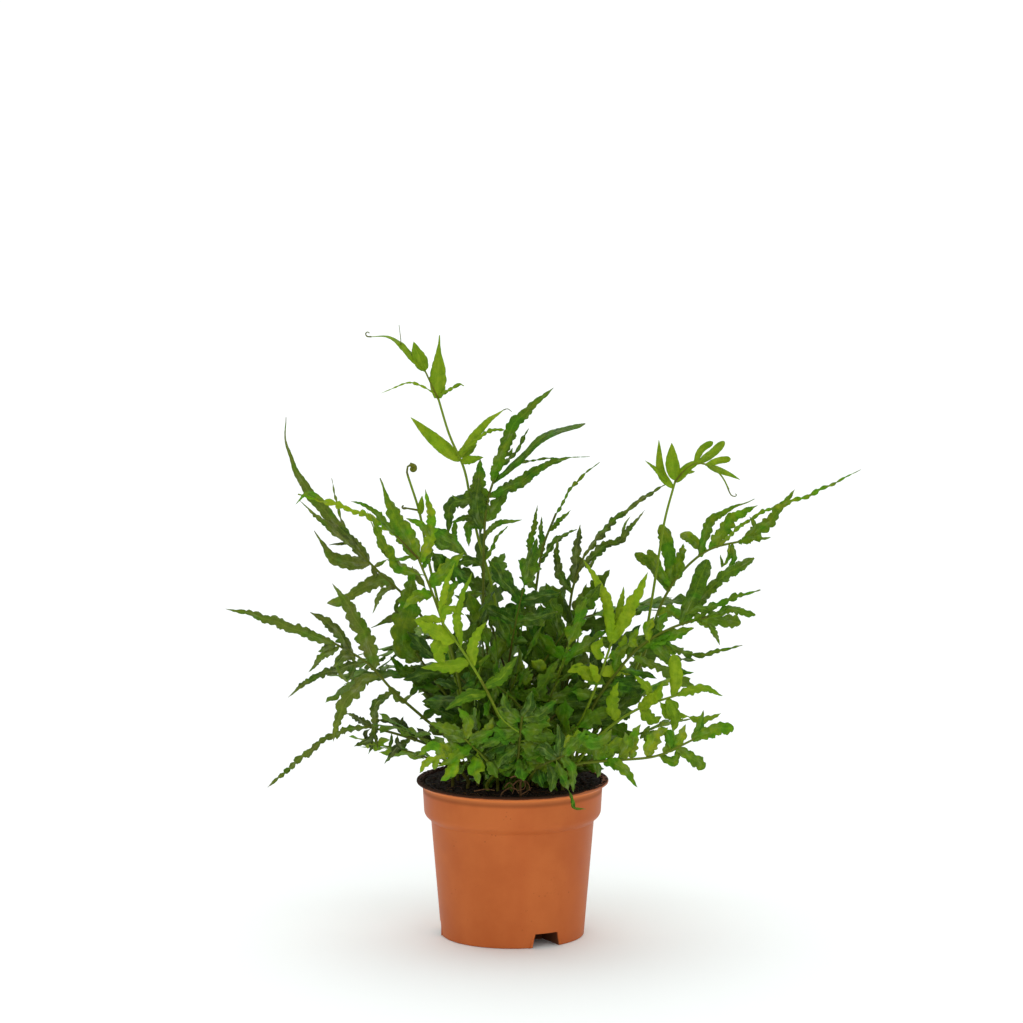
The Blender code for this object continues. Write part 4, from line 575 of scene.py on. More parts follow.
def seen(across, up, depth):
    """A front-view point carried along its line of sight to a depth."""
    scale = 1.0 + depth / -EYE[1]
    return np.array((across * scale, depth, EYE[2] + (up - EYE[2]) * scale))


def along_sight(point):
    """A step of one unit of depth along the line of sight through a point."""
    line = point - EYE
    return line / line[1]


def soil_height(x, y):
    """Height of the soil's top: a low mound with lumps from two crossing waves."""
    share = np.minimum(1.0, np.hypot(x, y) / (COLLAR_RADIUS - POT_WALL))
    lumps = np.sin(x * LUMP_X + LUMP_START) * np.cos(y * LUMP_Y)
    lumps = lumps + SECOND_SHARE * np.sin(x * SECOND_X - y * SECOND_Y)
    return SOIL_EDGE + SOIL_MOUND * (1.0 - share * share) + SOIL_LUMP * lumps * (1.0 - share)


class Node:
    """A CAD node's mesh in millimetres, to read off how its frond was built."""

    def __init__(self, name):
        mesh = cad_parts[name].data
        flat = np.empty(len(mesh.vertices) * 3, np.float32)
        mesh.vertices.foreach_get("co", flat)
        self.points = flat.reshape(-1, 3).astype(float) / MM
        faces = [tuple(face.vertices) for face in mesh.polygons]
        self.tree = BVHTree.FromPolygons(self.points.tolist(), faces)

    def foot(self):
        """The middle of the lowest ring of points."""
        low = self.points[self.points[:, 2] < self.points[:, 2].min() + 0.05]
        return np.unique(low.round(3), axis=0).mean(0)

    def off_face(self, points):
        """The largest distance of some points from the node's surface."""
        return max(self.tree.find_nearest(Vector(point))[3] for point in points)

    def off_corner(self, points):
        """The middle distance of some points from the node's nearest corners."""
        gaps = np.linalg.norm(self.points[None] - np.asarray(points)[:, None], axis=2).min(1)
        return float(np.median(gaps))


def stipe_line(foot, points):
    """Centres of a stipe: upright out of its hole, then a smooth line through the points."""
    smooth = curve([(foot[0], foot[1], SOIL_CLEAR + STIPE_RISE)] + list(points))
    steps = max(3, round(running(smooth)[-1] / STIPE_STEP))
    start = [foot, (foot[0], foot[1], SOIL_CLEAR - STIPE_SINK)]
    return np.vstack([start, evenly(smooth, steps)])


def nearest(stems, point):
    """The nearest point on some stems, a little back from each stem's end."""
    found = []
    for centres in stems:
        run = running(centres)[-1]
        steps = max(1, int(run / SEARCH_STEP))
        found.append(at(centres, (run - ROOT_BACK) * np.arange(steps + 1) / steps))
    found = np.vstack(found)
    return found[np.argmin(np.linalg.norm(found - point, axis=1))]


def fitted_line(node, root, path):
    """A leaflet's line as built: the first length and swing whose stations all lie in the node."""
    parts = (np.arange(1, len(path) + 1) / len(path)) ** SLIDE_POWER
    for share in SHARES:
        for slide in SLIDES:
            moved = [point + along_sight(point) * slide * part for point, part in zip(path, parts)]
            line = curve([root] + moved)
            run = running(line)[-1] * share
            steps = max(BLADE_STEPS[0], min(BLADE_STEPS[1], round(run / BLADE_STEP)))
            if node.off_face(evenly(line, steps, share)[1:]) < ON_FACE:
                return at(line, np.linspace(0.0, run, BLADE_POINTS))
    return None


def outer_layout(name):
    """Stems and leaflets of an outer frond, as (stems, [(width, roll, line), ...])."""
    stems, leaflets = OUTER_FRONDS[name]
    node = Node(name)
    lines = [[seen(across, up, depth * DEPTH_SPREAD) for across, up, depth in stem] for stem in stems]
    built = [stipe_line(node.foot(), lines[0])]
    for branch in lines[1:]:
        line = curve([nearest(built, branch[0])] + branch[1:])
        built.append(evenly(line, max(len(branch) - 1, 2, round(running(line)[-1] / BRANCH_STEP))))
    depth = stems[0][-1][2] * DEPTH_SPREAD
    placed = []
    for index, (width, reach, *path) in enumerate(leaflets):
        last = len(path) - 1
        points = [seen(across, up, depth + reach * (step / last) ** DEPTH_POWER)
                  for step, (across, up) in enumerate(path)]
        least = LEAST_WIDTH + WIDTH_BY_LENGTH * running(np.array(points))[-1]
        real = max(width, min(LEAST_WIDTH_LIMIT, least))
        roll = math.acos(width / real) * (1 if index % 2 else -1)
        line = fitted_line(node, nearest(built, points[0]), points[1:])
        if line is not None:
            placed.append((real, roll, line))
    return built, placed


class Sprig:
    """An inner frond: the knee of its stipe, its rib, the way its blade faces, and its lobes."""

    def __init__(self, name, out, base, climb, habit, size, rng):
        side = np.array((-out[1], out[0], 0.0))
        self.name = name
        ground = UP * SOIL_CLEAR
        self.knee = ground + (base - ground) * KNEE_SHARE
        lean, sway, outward = habit
        heading = unit(out * lean + UP * climb + side * rng.uniform(-sway, sway))
        face = UP + out * outward
        face = unit(face - heading * (face @ heading))
        roll = rng.uniform(-SPRIG_ROLL, SPRIG_ROLL)
        self.face = face * math.cos(roll) + np.cross(heading, face) * math.sin(roll)
        pitch = RIB_PITCH * rng.uniform(*PITCH_SPREAD)
        stations = np.arange(SPRIG_PAIRS + 1)[:, None]
        rib = base + heading * pitch * stations - self.face * (RIB_SAG * pitch) * stations**2
        self.rib = np.vstack([base - heading * pitch * 0.5, rib])
        self.lobes = {}
        for station in range(1, SPRIG_PAIRS + 1):
            for hand in (-1, 1):
                length = size[0] * rng.uniform(*LENGTH_SPREAD)
                width = min(size[1] * rng.uniform(*WIDTH_SPREAD), pitch * math.sin(LOBE_TURN) - LOBE_GAP)
                self.lobes[station, hand] = (length, width, LOBE_TURN, rng.uniform(-LOBE_LIFT, LOBE_LIFT))
        self.lobes[SPRIG_PAIRS + 1, 0] = (size[0] * rng.uniform(*TIP_SPREAD), size[1], 0.0, TIP_DROOP)

    def across(self, station):
        """The direction to the right across the rib at a station."""
        after = min(station + 1, len(self.rib) - 1)
        before = after - 1 if after == station else station
        return unit(np.cross(self.rib[after] - self.rib[before], self.face))

    def rib_side(self, station, hand):
        """The edge of the rib at a station."""
        return self.rib[station] + self.across(station) * (RIB_HALF * hand)

    def settle(self, node):
        """Move the frond as it was moved in the part: the shift whose rib corners are the node's."""
        out = unit(np.array((self.rib[0][0], self.rib[0][1], 0.0)))
        side = np.array((-out[1], out[0], 0.0))
        moves = [side * across + UP * up for across in SHIFTS for up in SHIFTS]
        ribs = [self.rib_side(station, hand) + self.face * (BLADE / 2.0)
                for station in range(1, len(self.rib)) for hand in (-1, 1)]
        move = min(moves, key=lambda shift: node.off_corner(ribs + shift))
        self.rib = self.rib + move
        self.stipe = stipe_line(node.foot(), [self.knee + move, self.rib[0]])

    def corners(self, station, hand, share, lift):
        """A lobe's middle points: root, shoulder, tip, shoulder, root."""
        length, width, turn, rise = self.lobes[station, hand]
        length *= share
        across = self.across(station)
        last = len(self.rib) - 1
        heading = unit(self.rib[min(station + 1, last)] - self.rib[min(station, last - 1)])
        if hand == 0:
            near, far = self.rib_side(last, -1), self.rib_side(last, 1)
            along, over = heading, across
        else:
            near, far = self.rib_side(station, hand), self.rib_side(station + 1, hand)
            along = heading * math.cos(turn) + across * (hand * math.sin(turn))
            over = heading * math.sin(turn) - across * (hand * math.cos(turn))
        root = (near + far) / 2.0
        tip = root + along * length + self.face * (length * (rise + lift))
        waist = root + (tip - root) * LOBE_SHOULDER + self.face * LOBE_CURL
        half = over * (width / 2.0 * (LOBE_WIDTH_KEPT + (1.0 - LOBE_WIDTH_KEPT) * share))
        return np.array([near, waist - half, tip, waist + half - self.face * LOBE_CURL, far])

    def fitted(self, node):
        """The corners of each lobe that the node has."""
        found = {}
        for station, hand in self.lobes:
            choices = [self.corners(station, hand, share, lift) for share in LOBE_SHARES for lift in LIFTS]
            gaps = [node.off_corner(corners[1:4] + self.face * (BLADE / 2.0)) for corners in choices]
            best = int(np.argmin(gaps))
            if gaps[best] < ON_CORNER:
                found[station, hand] = choices[best]
        return found


def sprigs():
    """All the fronds placed by a rule, with azimuths spread evenly and shaken a little."""
    rng = random.Random(SPRIG_SEED)
    result = []
    for kind, (count, (start, end), across, deep, heights, climbs, habit, size) in SPRIGS.items():
        for index in range(count):
            place = (index + rng.uniform(*AZIMUTH_SPREAD)) / count
            azimuth = math.radians(start + (end - start) * place)
            out = np.array((math.cos(azimuth), math.sin(azimuth), 0.0))
            base = np.array((out[0] * rng.uniform(*across), out[1] * rng.uniform(*deep),
                             rng.uniform(*heights)))
            climb = rng.uniform(*climbs)
            grown = [value * rng.uniform(*SIZE_SPREAD) for value in size]
            result.append(Sprig(f"{kind}_{index + 1:02d}", out, base, climb, habit, grown, rng))
    return result


# Every material by name, filled by make_finishes
FINISHES = {}


def tube_faces(rows, ring):
    """Two triangles for each cell of rings joined in a row, and a fan from each end ring to its pole."""
    low = np.arange(rows - 1)[:, None] * ring
    here = np.arange(ring)[None]
    after = (here + 1) % ring
    a, b, c, d = low + here, low + after, low + ring + after, low + ring + here
    cells = np.stack([a, b, c, a, c, d], -1).reshape(-1, 3)
    end = (rows - 1) * ring
    first = np.stack([np.full(ring, rows * ring), after[0], here[0]], 1)
    last = np.stack([np.full(ring, rows * ring + 1), end + here[0], end + after[0]], 1)
    return np.concatenate([cells, first, last])


def put(name, data):
    """A new object at the origin, in the scene."""
    item = bpy.data.objects.new(name, data)
    bpy.context.scene.collection.objects.link(item)
    return item


class Skins:
    """Closed skins gathered into one piece, with what each point tells the materials."""

    def __init__(self):
        self.skins = []
        self.count = 0

    def add(self, rings, place, tone, finish=0):
        """One skin over rings of points, closed by a pole in the middle of each end ring.

        Its triangles are turned over where the signed volume that they hold is below zero.
        """
        faces = tube_faces(*rings.shape[:2])
        points, place, tone = (self.with_poles(part) for part in (rings, place, tone))
        corner = points[faces]
        if np.einsum("ij,ij->", corner[:, 0], np.cross(corner[:, 1], corner[:, 2])) < 0.0:
            faces = faces[:, ::-1]
        self.skins.append((points, faces + self.count, place, tone, np.full(len(faces), finish, np.int32)))
        self.count += len(points)

    @staticmethod
    def with_poles(part):
        """Rows of values as one list, with the mean of the first and of the last row at its end."""
        return np.concatenate([part.reshape(-1, 3), part[0].mean(0)[None], part[-1].mean(0)[None]])

    def make(self, name, finishes, slot, node=None):
        """The piece, riding on the root body: its mesh with the attributes place and tone."""
        points, faces, place, tone, finish = (np.concatenate(parts) for parts in zip(*self.skins))
        mesh = bpy.data.meshes.new(name)
        mesh.vertices.add(len(points))
        mesh.vertices.foreach_set("co", (points * MM).ravel())
        mesh.loops.add(faces.size)
        mesh.loops.foreach_set("vertex_index", faces.ravel())
        mesh.polygons.add(len(faces))
        mesh.polygons.foreach_set("loop_start", np.arange(0, faces.size, 3))
        for label, values in (("place", place), ("tone", tone)):
            made = mesh.attributes.new(label, "FLOAT_VECTOR", "POINT")
            made.data.foreach_set("vector", values.ravel())
        for label in finishes:
            mesh.materials.append(FINISHES[label])
        mesh.polygons.foreach_set("material_index", finish)
        mesh.update(calc_edges=True)
        mesh.shade_smooth()
        item = put(name, mesh)
        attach(item, "root")
        if node:
            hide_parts(node)
        return item


def over_grid(shape, *parts):
    """Vectors over a grid, from parts that are each spread over the whole of it."""
    return np.stack([np.broadcast_to(part, shape) for part in parts], -1)


def directions(line, facing, roll):
    """Ahead along a line, across it and out of its face; roll turns the last two about the first."""
    ahead = unit(np.gradient(line, axis=0))
    face = facing - ahead * (ahead @ facing)[:, None]
    upright = UP - ahead * (ahead @ UP)[:, None]
    weak = np.clip(1.0 - np.linalg.norm(face, axis=1) / EDGE_ON, 0.0, 1.0)[:, None]
    face = unit(face + upright * weak * 0.5)
    side = np.cross(ahead, face)
    cosine, sine = np.cos(roll)[:, None], np.sin(roll)[:, None]
    return ahead, unit(side * cosine - face * sine), unit(face * cosine + side * sine)


def notches(run, pitch, depth, lean, rng):
    """Along one edge, the share of the half width left and how far each lobe is tilted.

    Notches come at uneven steps of about pitch. Between two of them the edge swells as half a sine that
    leans to the tip, each lobe by its own amount, and each lobe tilts up or down by its own amount.
    """
    cuts = [-rng.uniform(0.0, pitch)]
    while cuts[-1] < run[-1]:
        cuts.append(cuts[-1] + pitch * rng.uniform(*NOTCH_STEPS))
    cuts = np.array(cuts)
    lobe = np.clip(np.searchsorted(cuts, run, side="right") - 1, 0, len(cuts) - 2)
    share = (run - cuts[lobe]) / (cuts[lobe + 1] - cuts[lobe])
    swell = np.sin(np.pi * share**lean) ** NOTCH_FULLNESS
    size = rng.uniform(*LOBE_SIZES, len(cuts))[lobe]
    tilt = rng.uniform(-1.0, 1.0, len(cuts))[lobe]
    return 1.0 - depth * (1.0 - swell * size), swell * tilt


def leaf_edge(run, wide, pitch, depth, lean, rng):
    """Half widths along one edge and the tilt of its lobes, which have shallower teeth on them."""
    lobes, tilt = notches(run, pitch * LOBE_PITCH, depth, lean, rng)
    fine = max(pitch * TOOTH_SHARE, LEAF_STATION * 2.0)
    teeth = notches(run, fine, depth * rng.uniform(*TOOTH_DEPTH), 1.0, rng)[0]
    return wide * lobes * teeth * LOBE_REACH, tilt


def leaf_section(v, reach, wide, share):
    """How far a leaf's upper and lower skins stand off its middle: a lens that is thickest at the
    midrib, with a groove along it above and a ridge below, both bell curves."""
    thin = np.clip(wide / FULL_BODY, 0.15, 1.0)[:, None]
    body = (LEAF_EDGE + LEAF_BODY * (1.0 - v**2)) * np.clip(thin, 0.5, 1.0)
    groove = -LEAF_GROOVE * np.exp(-((v / GROOVE_SHARE) ** 2)) * thin
    ridge = LEAF_RIB * np.exp(-((reach / RIB_WIDTH) ** 2)) * (1.0 - 0.7 * share)[:, None]
    return (body + groove)[..., None], (body + ridge)[..., None]


def leaf_path(line, facing, roll, ruffle, step, rng):
    """A leaf's stations, its line swaying from side to side, and its directions, which twist slowly."""
    length = running(line)[-1]
    station = np.linspace(0.0, length, int(np.clip(length / step, *LEAF_ROWS)))
    share = station / length
    line = at(line, station)
    twist = roll + rng.uniform(-LEAF_TWIST, LEAF_TWIST) * share
    twist = twist + TWIST_WAVE * ruffle * np.sin(station * TWIST_RATE + rng.uniform(*WAVE_STARTS))
    ahead, side, face = directions(line, facing, twist)
    sway = SWAY_WAVE * ruffle * np.sin(station * SWAY_RATE + rng.uniform(*WAVE_STARTS))
    sway = sway * np.sin(np.pi * share)
    return station, share, line + side * sway[:, None], ahead, side, face


def leaf(skins, line, facing, roll, half, look, rng, step=LEAF_STATION, beads=False):
    """One leaf: a thin lens carried along a line, as wide on each side as half and its notches leave.

    Its look is its tone, the depth of its notches, its ruffle, the notches' pitch and how far its lobes
    lean to the tip. A leaf of beads has the same notches on both sides. The blade arches across, and its
    lobes tilt up or down by the square of the distance from the midrib.
    """
    tone, depth, ruffle, pitch, lean = look
    station, share, line, ahead, side, face = leaf_path(line, facing, roll, ruffle, step, rng)
    wide = half(share)
    pitch = pitch * np.clip(wide.max() / PITCH_WIDTH, *PITCH_LIMITS)
    left = leaf_edge(station, wide, pitch, depth, lean, rng)
    right = left if beads else leaf_edge(station, wide, pitch, depth, lean, rng)
    v = np.sin(np.linspace(-np.pi / 2, np.pi / 2, LEAF_COLUMNS))
    width, tilt = (np.where(v < 0.0, one[:, None], other[:, None]) for one, other in zip(left, right))
    reach = np.maximum(width, (LEAF_TIP * (1.0 - LEAF_TIP_TAPER * share))[:, None]) * v
    ripple = tilt * v**2 * (ruffle * np.minimum(wide * LOBE_TILT, LOBE_RISE))[:, None]
    arch = -rng.uniform(*LEAF_ARCH) * reach**2 / np.maximum(wide, 1.0)[:, None]
    forward = LOBE_FORWARD * depth * (np.abs(reach) - 0.5 * wide[:, None])
    forward = forward * v**2 * np.sin(np.pi * share)[:, None]
    middle = line[:, None] + side[:, None] * reach[..., None] + face[:, None] * (arch + ripple)[..., None]
    middle = middle + ahead[:, None] * forward[..., None]
    over, under = leaf_section(v, reach, wide, share)
    top, below = middle + face[:, None] * over, middle - face[:, None] * under
    back = slice(LEAF_COLUMNS - 2, 0, -1)
    rings = np.concatenate([middle[:, :1], top[:, 1:-1], middle[:, -1:], below[:, back]], 1)
    spread = np.concatenate([reach, reach[:, back]], 1)
    out = np.concatenate([v, v[back]])
    upper = np.concatenate([np.ones(LEAF_COLUMNS), np.zeros(LEAF_COLUMNS - 2)])
    ends = (share * np.clip(1.1 - 0.15 * wide, 0.8, 1.0))[:, None]
    tone = tone + rng.uniform(-TONE_SPREAD, TONE_SPREAD)
    skins.add(rings, over_grid(spread.shape, station[:, None], spread, out),
              over_grid(spread.shape, tone, ends, upper))


def stem(skins, line, start, end, tone, finish=1, sides=STEM_SIDES, station=STEM_STATION):
    """A round stem along a smooth line, whose radius runs from start to end, with a flatter upper side."""
    length = running(line)[-1]
    rows = max(6, int(length / station))
    share = np.linspace(0.0, 1.0, rows)
    far = np.linspace(0.0, length, rows)
    line = at(line, far)
    ahead = unit(np.gradient(line, axis=0))
    across = np.empty_like(ahead)
    last = np.array((1.0, 0.0, 0.0))
    for row, way in enumerate(ahead):
        last = unit(last - way * (way @ last))
        across[row] = last
    face = np.cross(ahead, across)
    turn = 2 * np.pi * np.arange(sides) / sides
    cosine, sine = np.cos(turn)[:, None], np.sin(turn)[:, None]
    radius = (start + (end - start) * share)[:, None] * (1.0 - STEM_FLAT * np.maximum(np.sin(turn), 0.0) ** 4)
    rings = line[:, None] + (across[:, None] * cosine + face[:, None] * sine) * radius[..., None]
    skins.add(rings, over_grid(radius.shape, far[:, None], turn, radius),
              over_grid(radius.shape, tone, share[:, None], 1.0), finish)


def outline(kind, width):
    """Half width of a leaf by its share of the length. A lance is a sine skewed to the base."""
    if kind == "lance":
        return lambda share: 0.5 * width * np.sin(np.pi * np.clip(share, 0.0, 1.0) ** 0.64) ** 0.8
    return lambda share: 0.5 * width * np.interp(share, *OUTLINES[kind])


def lobe_half(corners):
    """Half width of a lobe: broad where it leaves the rib, full at its shoulders, pointed at its tip."""
    root = np.linalg.norm(corners[4] - corners[0]) / 2.0
    shoulder = np.linalg.norm(corners[3] - corners[1]) / 2.0
    shares = (0.0, 0.1, 0.24, LOBE_SHOULDER, 0.6, 0.78, 0.92, 1.0)
    widths = np.array((0.7, 0.62, 0.82, 1.0, 0.93, 0.66, 0.28, 0.0)) * np.repeat((root, shoulder), (2, 6))
    return lambda share: np.interp(share, shares, widths)


def attached(lines, points, gained):
    """A smooth line through front-view points that starts on the nearest of some lines, as seen."""
    found = np.vstack([curve(line, 6) for line in lines])
    scale = 1.0 - found[:, 1:2] / EYE[1]
    flat = np.hstack([found[:, :1] / scale, EYE[2] + (found[:, 2:] - EYE[2]) / scale])
    root = found[np.argmin(np.linalg.norm(flat - np.array(points[0]), axis=1))]
    far = np.linspace(root[1], root[1] + gained, len(points))
    return curve([root] + [seen(*point, depth) for point, depth in zip(points[1:], far[1:])], 12)


def frond_piece(skins, name, age):
    """The piece that takes the place of a frond's CAD node."""
    blades, stalks, slot = AGES[age]
    skins.make(name + "_leaves", [blades, stalks], slot, name)


def outer_frond(name, rng):
    """An outer frond: its stems, its leaflets, and the small leaves and threads on them."""
    stems, leaflets = outer_layout(name)
    tone, depth, ruffle, age, forms = FROND_LOOKS[name]
    skins = Skins()
    for index, centres in enumerate(stems):
        start, end = (STIPE_FOOT, STIPE_TOP) if index == 0 else (STIPE_TOP, BRANCH_END)
        stem(skins, curve(centres, 6), start, end, tone)
    for form, (width, roll, line) in zip(forms, leaflets):
        kind, wider, shared, own, waved, kept, lighter = LEAFLET_FORMS[form]
        beads = kind == "beads"
        width = width * wider * math.cos(roll) / math.cos(roll * kept)
        pitch = BEAD_PITCH if beads else NOTCH_PITCH
        look = (tone + lighter, depth * shared + own, ruffle * waved, pitch, 1.0)
        leaf(skins, line, FACING_EYE, roll * kept, outline(kind, width), look, rng, beads=beads)
    lines = list(stems) + [line for width, roll, line in leaflets]
    for width, notch, lighter, gained, *points in EXTRA_LEAVES.get(name, ()):
        lines.append(attached(lines, points, gained))
        kind, pitch = ("ovate", TOOTH_PITCH) if notch > LOBED else ("lance", NOTCH_PITCH)
        look, roll = (tone + lighter, notch, ruffle, pitch, EXTRA_LEAN), rng.uniform(-EXTRA_ROLL, EXTRA_ROLL)
        leaf(skins, lines[-1], FACING_EYE, roll, outline(kind, width), look, rng)
    for thick, gained, *points in EXTRA_THREADS.get(name, ()):
        line = attached(lines, points, gained)
        stem(skins, line, thick, thick * THREAD_TAPER, tone, sides=8, station=THREAD_STATION)
    if name in LEAFY_STIPES:
        look = (rng.uniform(*STIPE_TONES), *LOBED_LOOK)
        stipe_leaves(skins, stems[0], np.array((1.0, 0.0, 0.0)), FACING_EYE, look, rng)
    frond_piece(skins, name, age)


def stipe_leaves(skins, line, out, face, look, rng):
    """Small leaves in pairs down a stipe to just above the soil, out to both sides of it."""
    line = curve(line, 8)
    runs = running(line)
    start, end = np.interp((SOIL_CLEAR + STIPE_LEAF_LOW, STIPE_LEAF_HIGH), line[:, 2], runs)
    count = int((end - start) / STIPE_LEAF_STEP)
    for index in range(min(count, STIPE_LEAF_MOST)):
        for hand in (-1.0, 1.0):
            root = at(line, np.array([end - STIPE_LEAF_STEP * (index + rng.uniform(*STIPE_LEAF_PLACES))]))[0]
            rise, forward = rng.uniform(*STIPE_LEAF_LEANS, 2)
            way = unit(out * hand + UP * rise + face * forward)
            length = rng.uniform(*STIPE_LEAF_LENGTH)
            tip = root + way * length
            if np.hypot(*tip[:2]) > NECK_RADIUS - RIM_INSIDE and tip[2] < POT_HEIGHT + RIM_ABOVE:
                continue
            bend = face * length * rng.uniform(*STIPE_LEAF_BENDS)
            path = curve([root, root + way * length * 0.5 + bend, tip], 10)
            shape = outline("ovate", length * rng.uniform(*STIPE_LEAF_WIDTH))
            roll = rng.uniform(-STIPE_LEAF_ROLL, STIPE_LEAF_ROLL)
            leaf(skins, path, face, roll, shape, look, rng, step=SPRIG_STATION)


def sprig_frond(sprig, rng):
    """A frond placed by a rule: a stipe, a winged rib and holly-like lobes."""
    node = Node(sprig.name)
    sprig.settle(node)
    tone = rng.uniform(*SPRIG_TONES[sprig.name[:-3]])
    skins = Skins()
    rib = curve(sprig.rib, 6)
    stem(skins, curve(sprig.stipe, 6), STIPE_FOOT, STIPE_TOP, tone)
    stem(skins, rib, STIPE_TOP, BRANCH_END, tone)
    look = (tone, *LOBED_LOOK)
    leaf(skins, rib, sprig.face, 0.0, lambda share: WING_HALF + WING_GROWTH * share, look, rng)
    for corners in sprig.fitted(node).values():
        root = (corners[0] + corners[4]) / 2.0
        waist = (corners[1] + corners[3]) / 2.0
        line = curve([root - (waist - root) * LOBE_ROOT_BACK, waist, corners[2]], 20)
        roll = rng.uniform(-SPRIG_LOBE_ROLL, SPRIG_LOBE_ROLL)
        leaf(skins, line, sprig.face, roll, lobe_half(corners), look, rng, step=SPRIG_STATION)
    stipe_leaves(skins, sprig.stipe, sprig.across(1), sprig.face, look, rng)
    frond_piece(skins, sprig.name, "grown")


# Fine pot and soil
POT_SEGMENTS = 160
PROFILE_STEP = 3.5
POT_CREASE = math.radians(32.0)
SOIL_SEGMENTS = 150
SOIL_ROWS = 56
SOIL_FOOT = 12.0
SOIL_GAP = 0.3
SOIL_RIM = NECK_RADIUS - POT_WALL - 0.35
SOIL_WAVES = 70
SOIL_ROUGHNESS = 0.42
WAVE_LENGTHS = (1.8, 11.0)
WAVE_POWER = 0.6
WAVE_GAIN = 1.8
SOIL_HEAP = 2.6
HEAP_START = 43.0
HEAP_POWER = 1.5
LUMPS_END = 53.5
LUMPS_FADE = 4.0
LUMPS_LEFT = 0.3
CRUMBS = 900
CRUMB_REACH = 53.0
RIM_CRUMBS = 260
RIM_CRUMB_REACH = (54.6, 59.2)
CRUMB_SIZE, CRUMB_EXTRA, CRUMB_POWER = 0.35, 1.0, 3
RIM_CRUMB_SIZES = (0.25, 0.85)
CRUMB_POLAR = np.array((0.45, 1.2, 1.95, 2.7))[:, None]
CRUMB_PUSH = (0.65, 1.25)
CRUMB_STRETCH = (0.7, 1.3)
CRUMB_SQUAT = 0.75
RIM_CLIMB = 0.8
FIBRES = 110
FIBRE_REACH = 50.0
FIBRE_LENGTHS = (3.0, 11.0)
FIBRE_BEND = 0.12
FIBRE_RADII = (0.09, 0.26)
FIBRE_CLEAR = 0.35
FIBRE_ARCH = 1.4
FIBRE_STATION = 2.2
CRUMB_SEED = 5
LEAF_SEED = 23

# Old stipe left from an earlier frond, and the dry curls beside it: (across, up, depth), and radii
OLD_STIPE = [(5, 96.5, -44), (6, 99, -45), (2.5, 100.5, -46), (-1.5, 99, -47)]
OLD_STIPE_RADIUS = 0.9
DRY_CURLS = (
    [(0, 94, -50), (3, 97, -49), (7, 97.5, -48), (10, 95, -49), (11, 91, -51)],
    [(2, 96.5, -48), (5, 98, -47), (8, 95.5, -49), (7, 92, -51), (3, 91, -52)],
    [(-8, 86.5, -54), (-6, 90, -52), (-2, 92.5, -51), (2, 92, -51), (4, 89, -52)],
    [(-5, 93, -50), (-2, 96, -49), (1, 93, -50), (0, 89, -52)],
    [(5, 88, -53), (9, 90.5, -52), (12, 93, -50)],
    [(-24, 90.5, -50), (-17, 91.8, -50), (-11, 91, -50)],
)
DRY_CURL_RADII = (0.42, 0.2)


def rounded(corners, steps=6):
    """A profile of (radius, height, rounding) with each corner drawn as a parabola that leaves both
    sides at the rounding's distance from the corner, and straight stretches cut to PROFILE_STEP."""
    given = np.array(corners, float)
    points = [given[0, :2]]
    for before, here, after in zip(given, given[1:], given[2:]):
        first = here[:2] + unit(before[:2] - here[:2]) * here[2]
        last = here[:2] + unit(after[:2] - here[:2]) * here[2]
        for t in np.linspace(0.0, 1.0, steps if here[2] else 1):
            points.append((1 - t) ** 2 * first + 2 * t * (1 - t) * here[:2] + t * t * last)
    points.append(given[-1, :2])
    result = [points[0]]
    for here, after in zip(points, points[1:]):
        cuts = max(1, int(np.linalg.norm(after - here) / PROFILE_STEP))
        result += [here + (after - here) * (index + 1) / cuts for index in range(cuts)]
    return np.array(result)


def turned(profile, segments):
    """Rings of a profile of (radius, height) turned about the upright axis."""
    angle = 2 * np.pi * np.arange(segments) / segments
    radius, height = profile[:, :1], profile[:, 1:]
    return over_grid((len(profile), segments), radius * np.cos(angle), radius * np.sin(angle), height)


def earthen(skins, rings, tone=0.0):
    """Add a skin of pot or soil, whose attributes hold its own points and one tone."""
    skins.add(rings, rings, over_grid(rings.shape[:2], tone, 0.0, 0.0))


def bar(corners):
    """A temporary bar from eight corners, two rings of four, used to cut the pot's foot."""
    faces = [(3, 2, 1, 0), (4, 5, 6, 7), (0, 1, 5, 4), (1, 2, 6, 5), (2, 3, 7, 6), (3, 0, 4, 7)]
    mesh = bpy.data.meshes.new("bar")
    mesh.from_pydata([tuple(corner) for corner in np.asarray(corners) * MM], [], faces)
    return put("bar", mesh)


def channel(grow, angle, start, end):
    """A trapezoid bar along one drainage channel, larger than the notch by grow on its sides and top."""
    half, top = NOTCH_WIDTH / 2.0 + grow, NOTCH_TOP_WIDTH / 2.0 + grow
    low, high = (POT_WALL / 2.0 if grow else -CUT_BELOW), NOTCH_HEIGHT + grow
    section = ((-half, low), (half, low), (top, high), (-top, high))
    c, s = math.cos(angle), math.sin(angle)
    return bar([(along * c - side * s, along * s + side * c, height)
                for along in (start, end) for side, height in section])


def drain(angle):
    """A temporary upright bar through the roof of a channel, for its drain hole."""
    x, y = DRAIN_PLACE * math.cos(angle), DRAIN_PLACE * math.sin(angle)
    return bar([(x + DRAIN_RADIUS * a, y + DRAIN_RADIUS * b, height)
                for height in (NOTCH_HEIGHT / 2.0, NOTCH_HEIGHT * 1.5)
                for a, b in ((-1, -1), (1, -1), (1, 1), (-1, 1))])


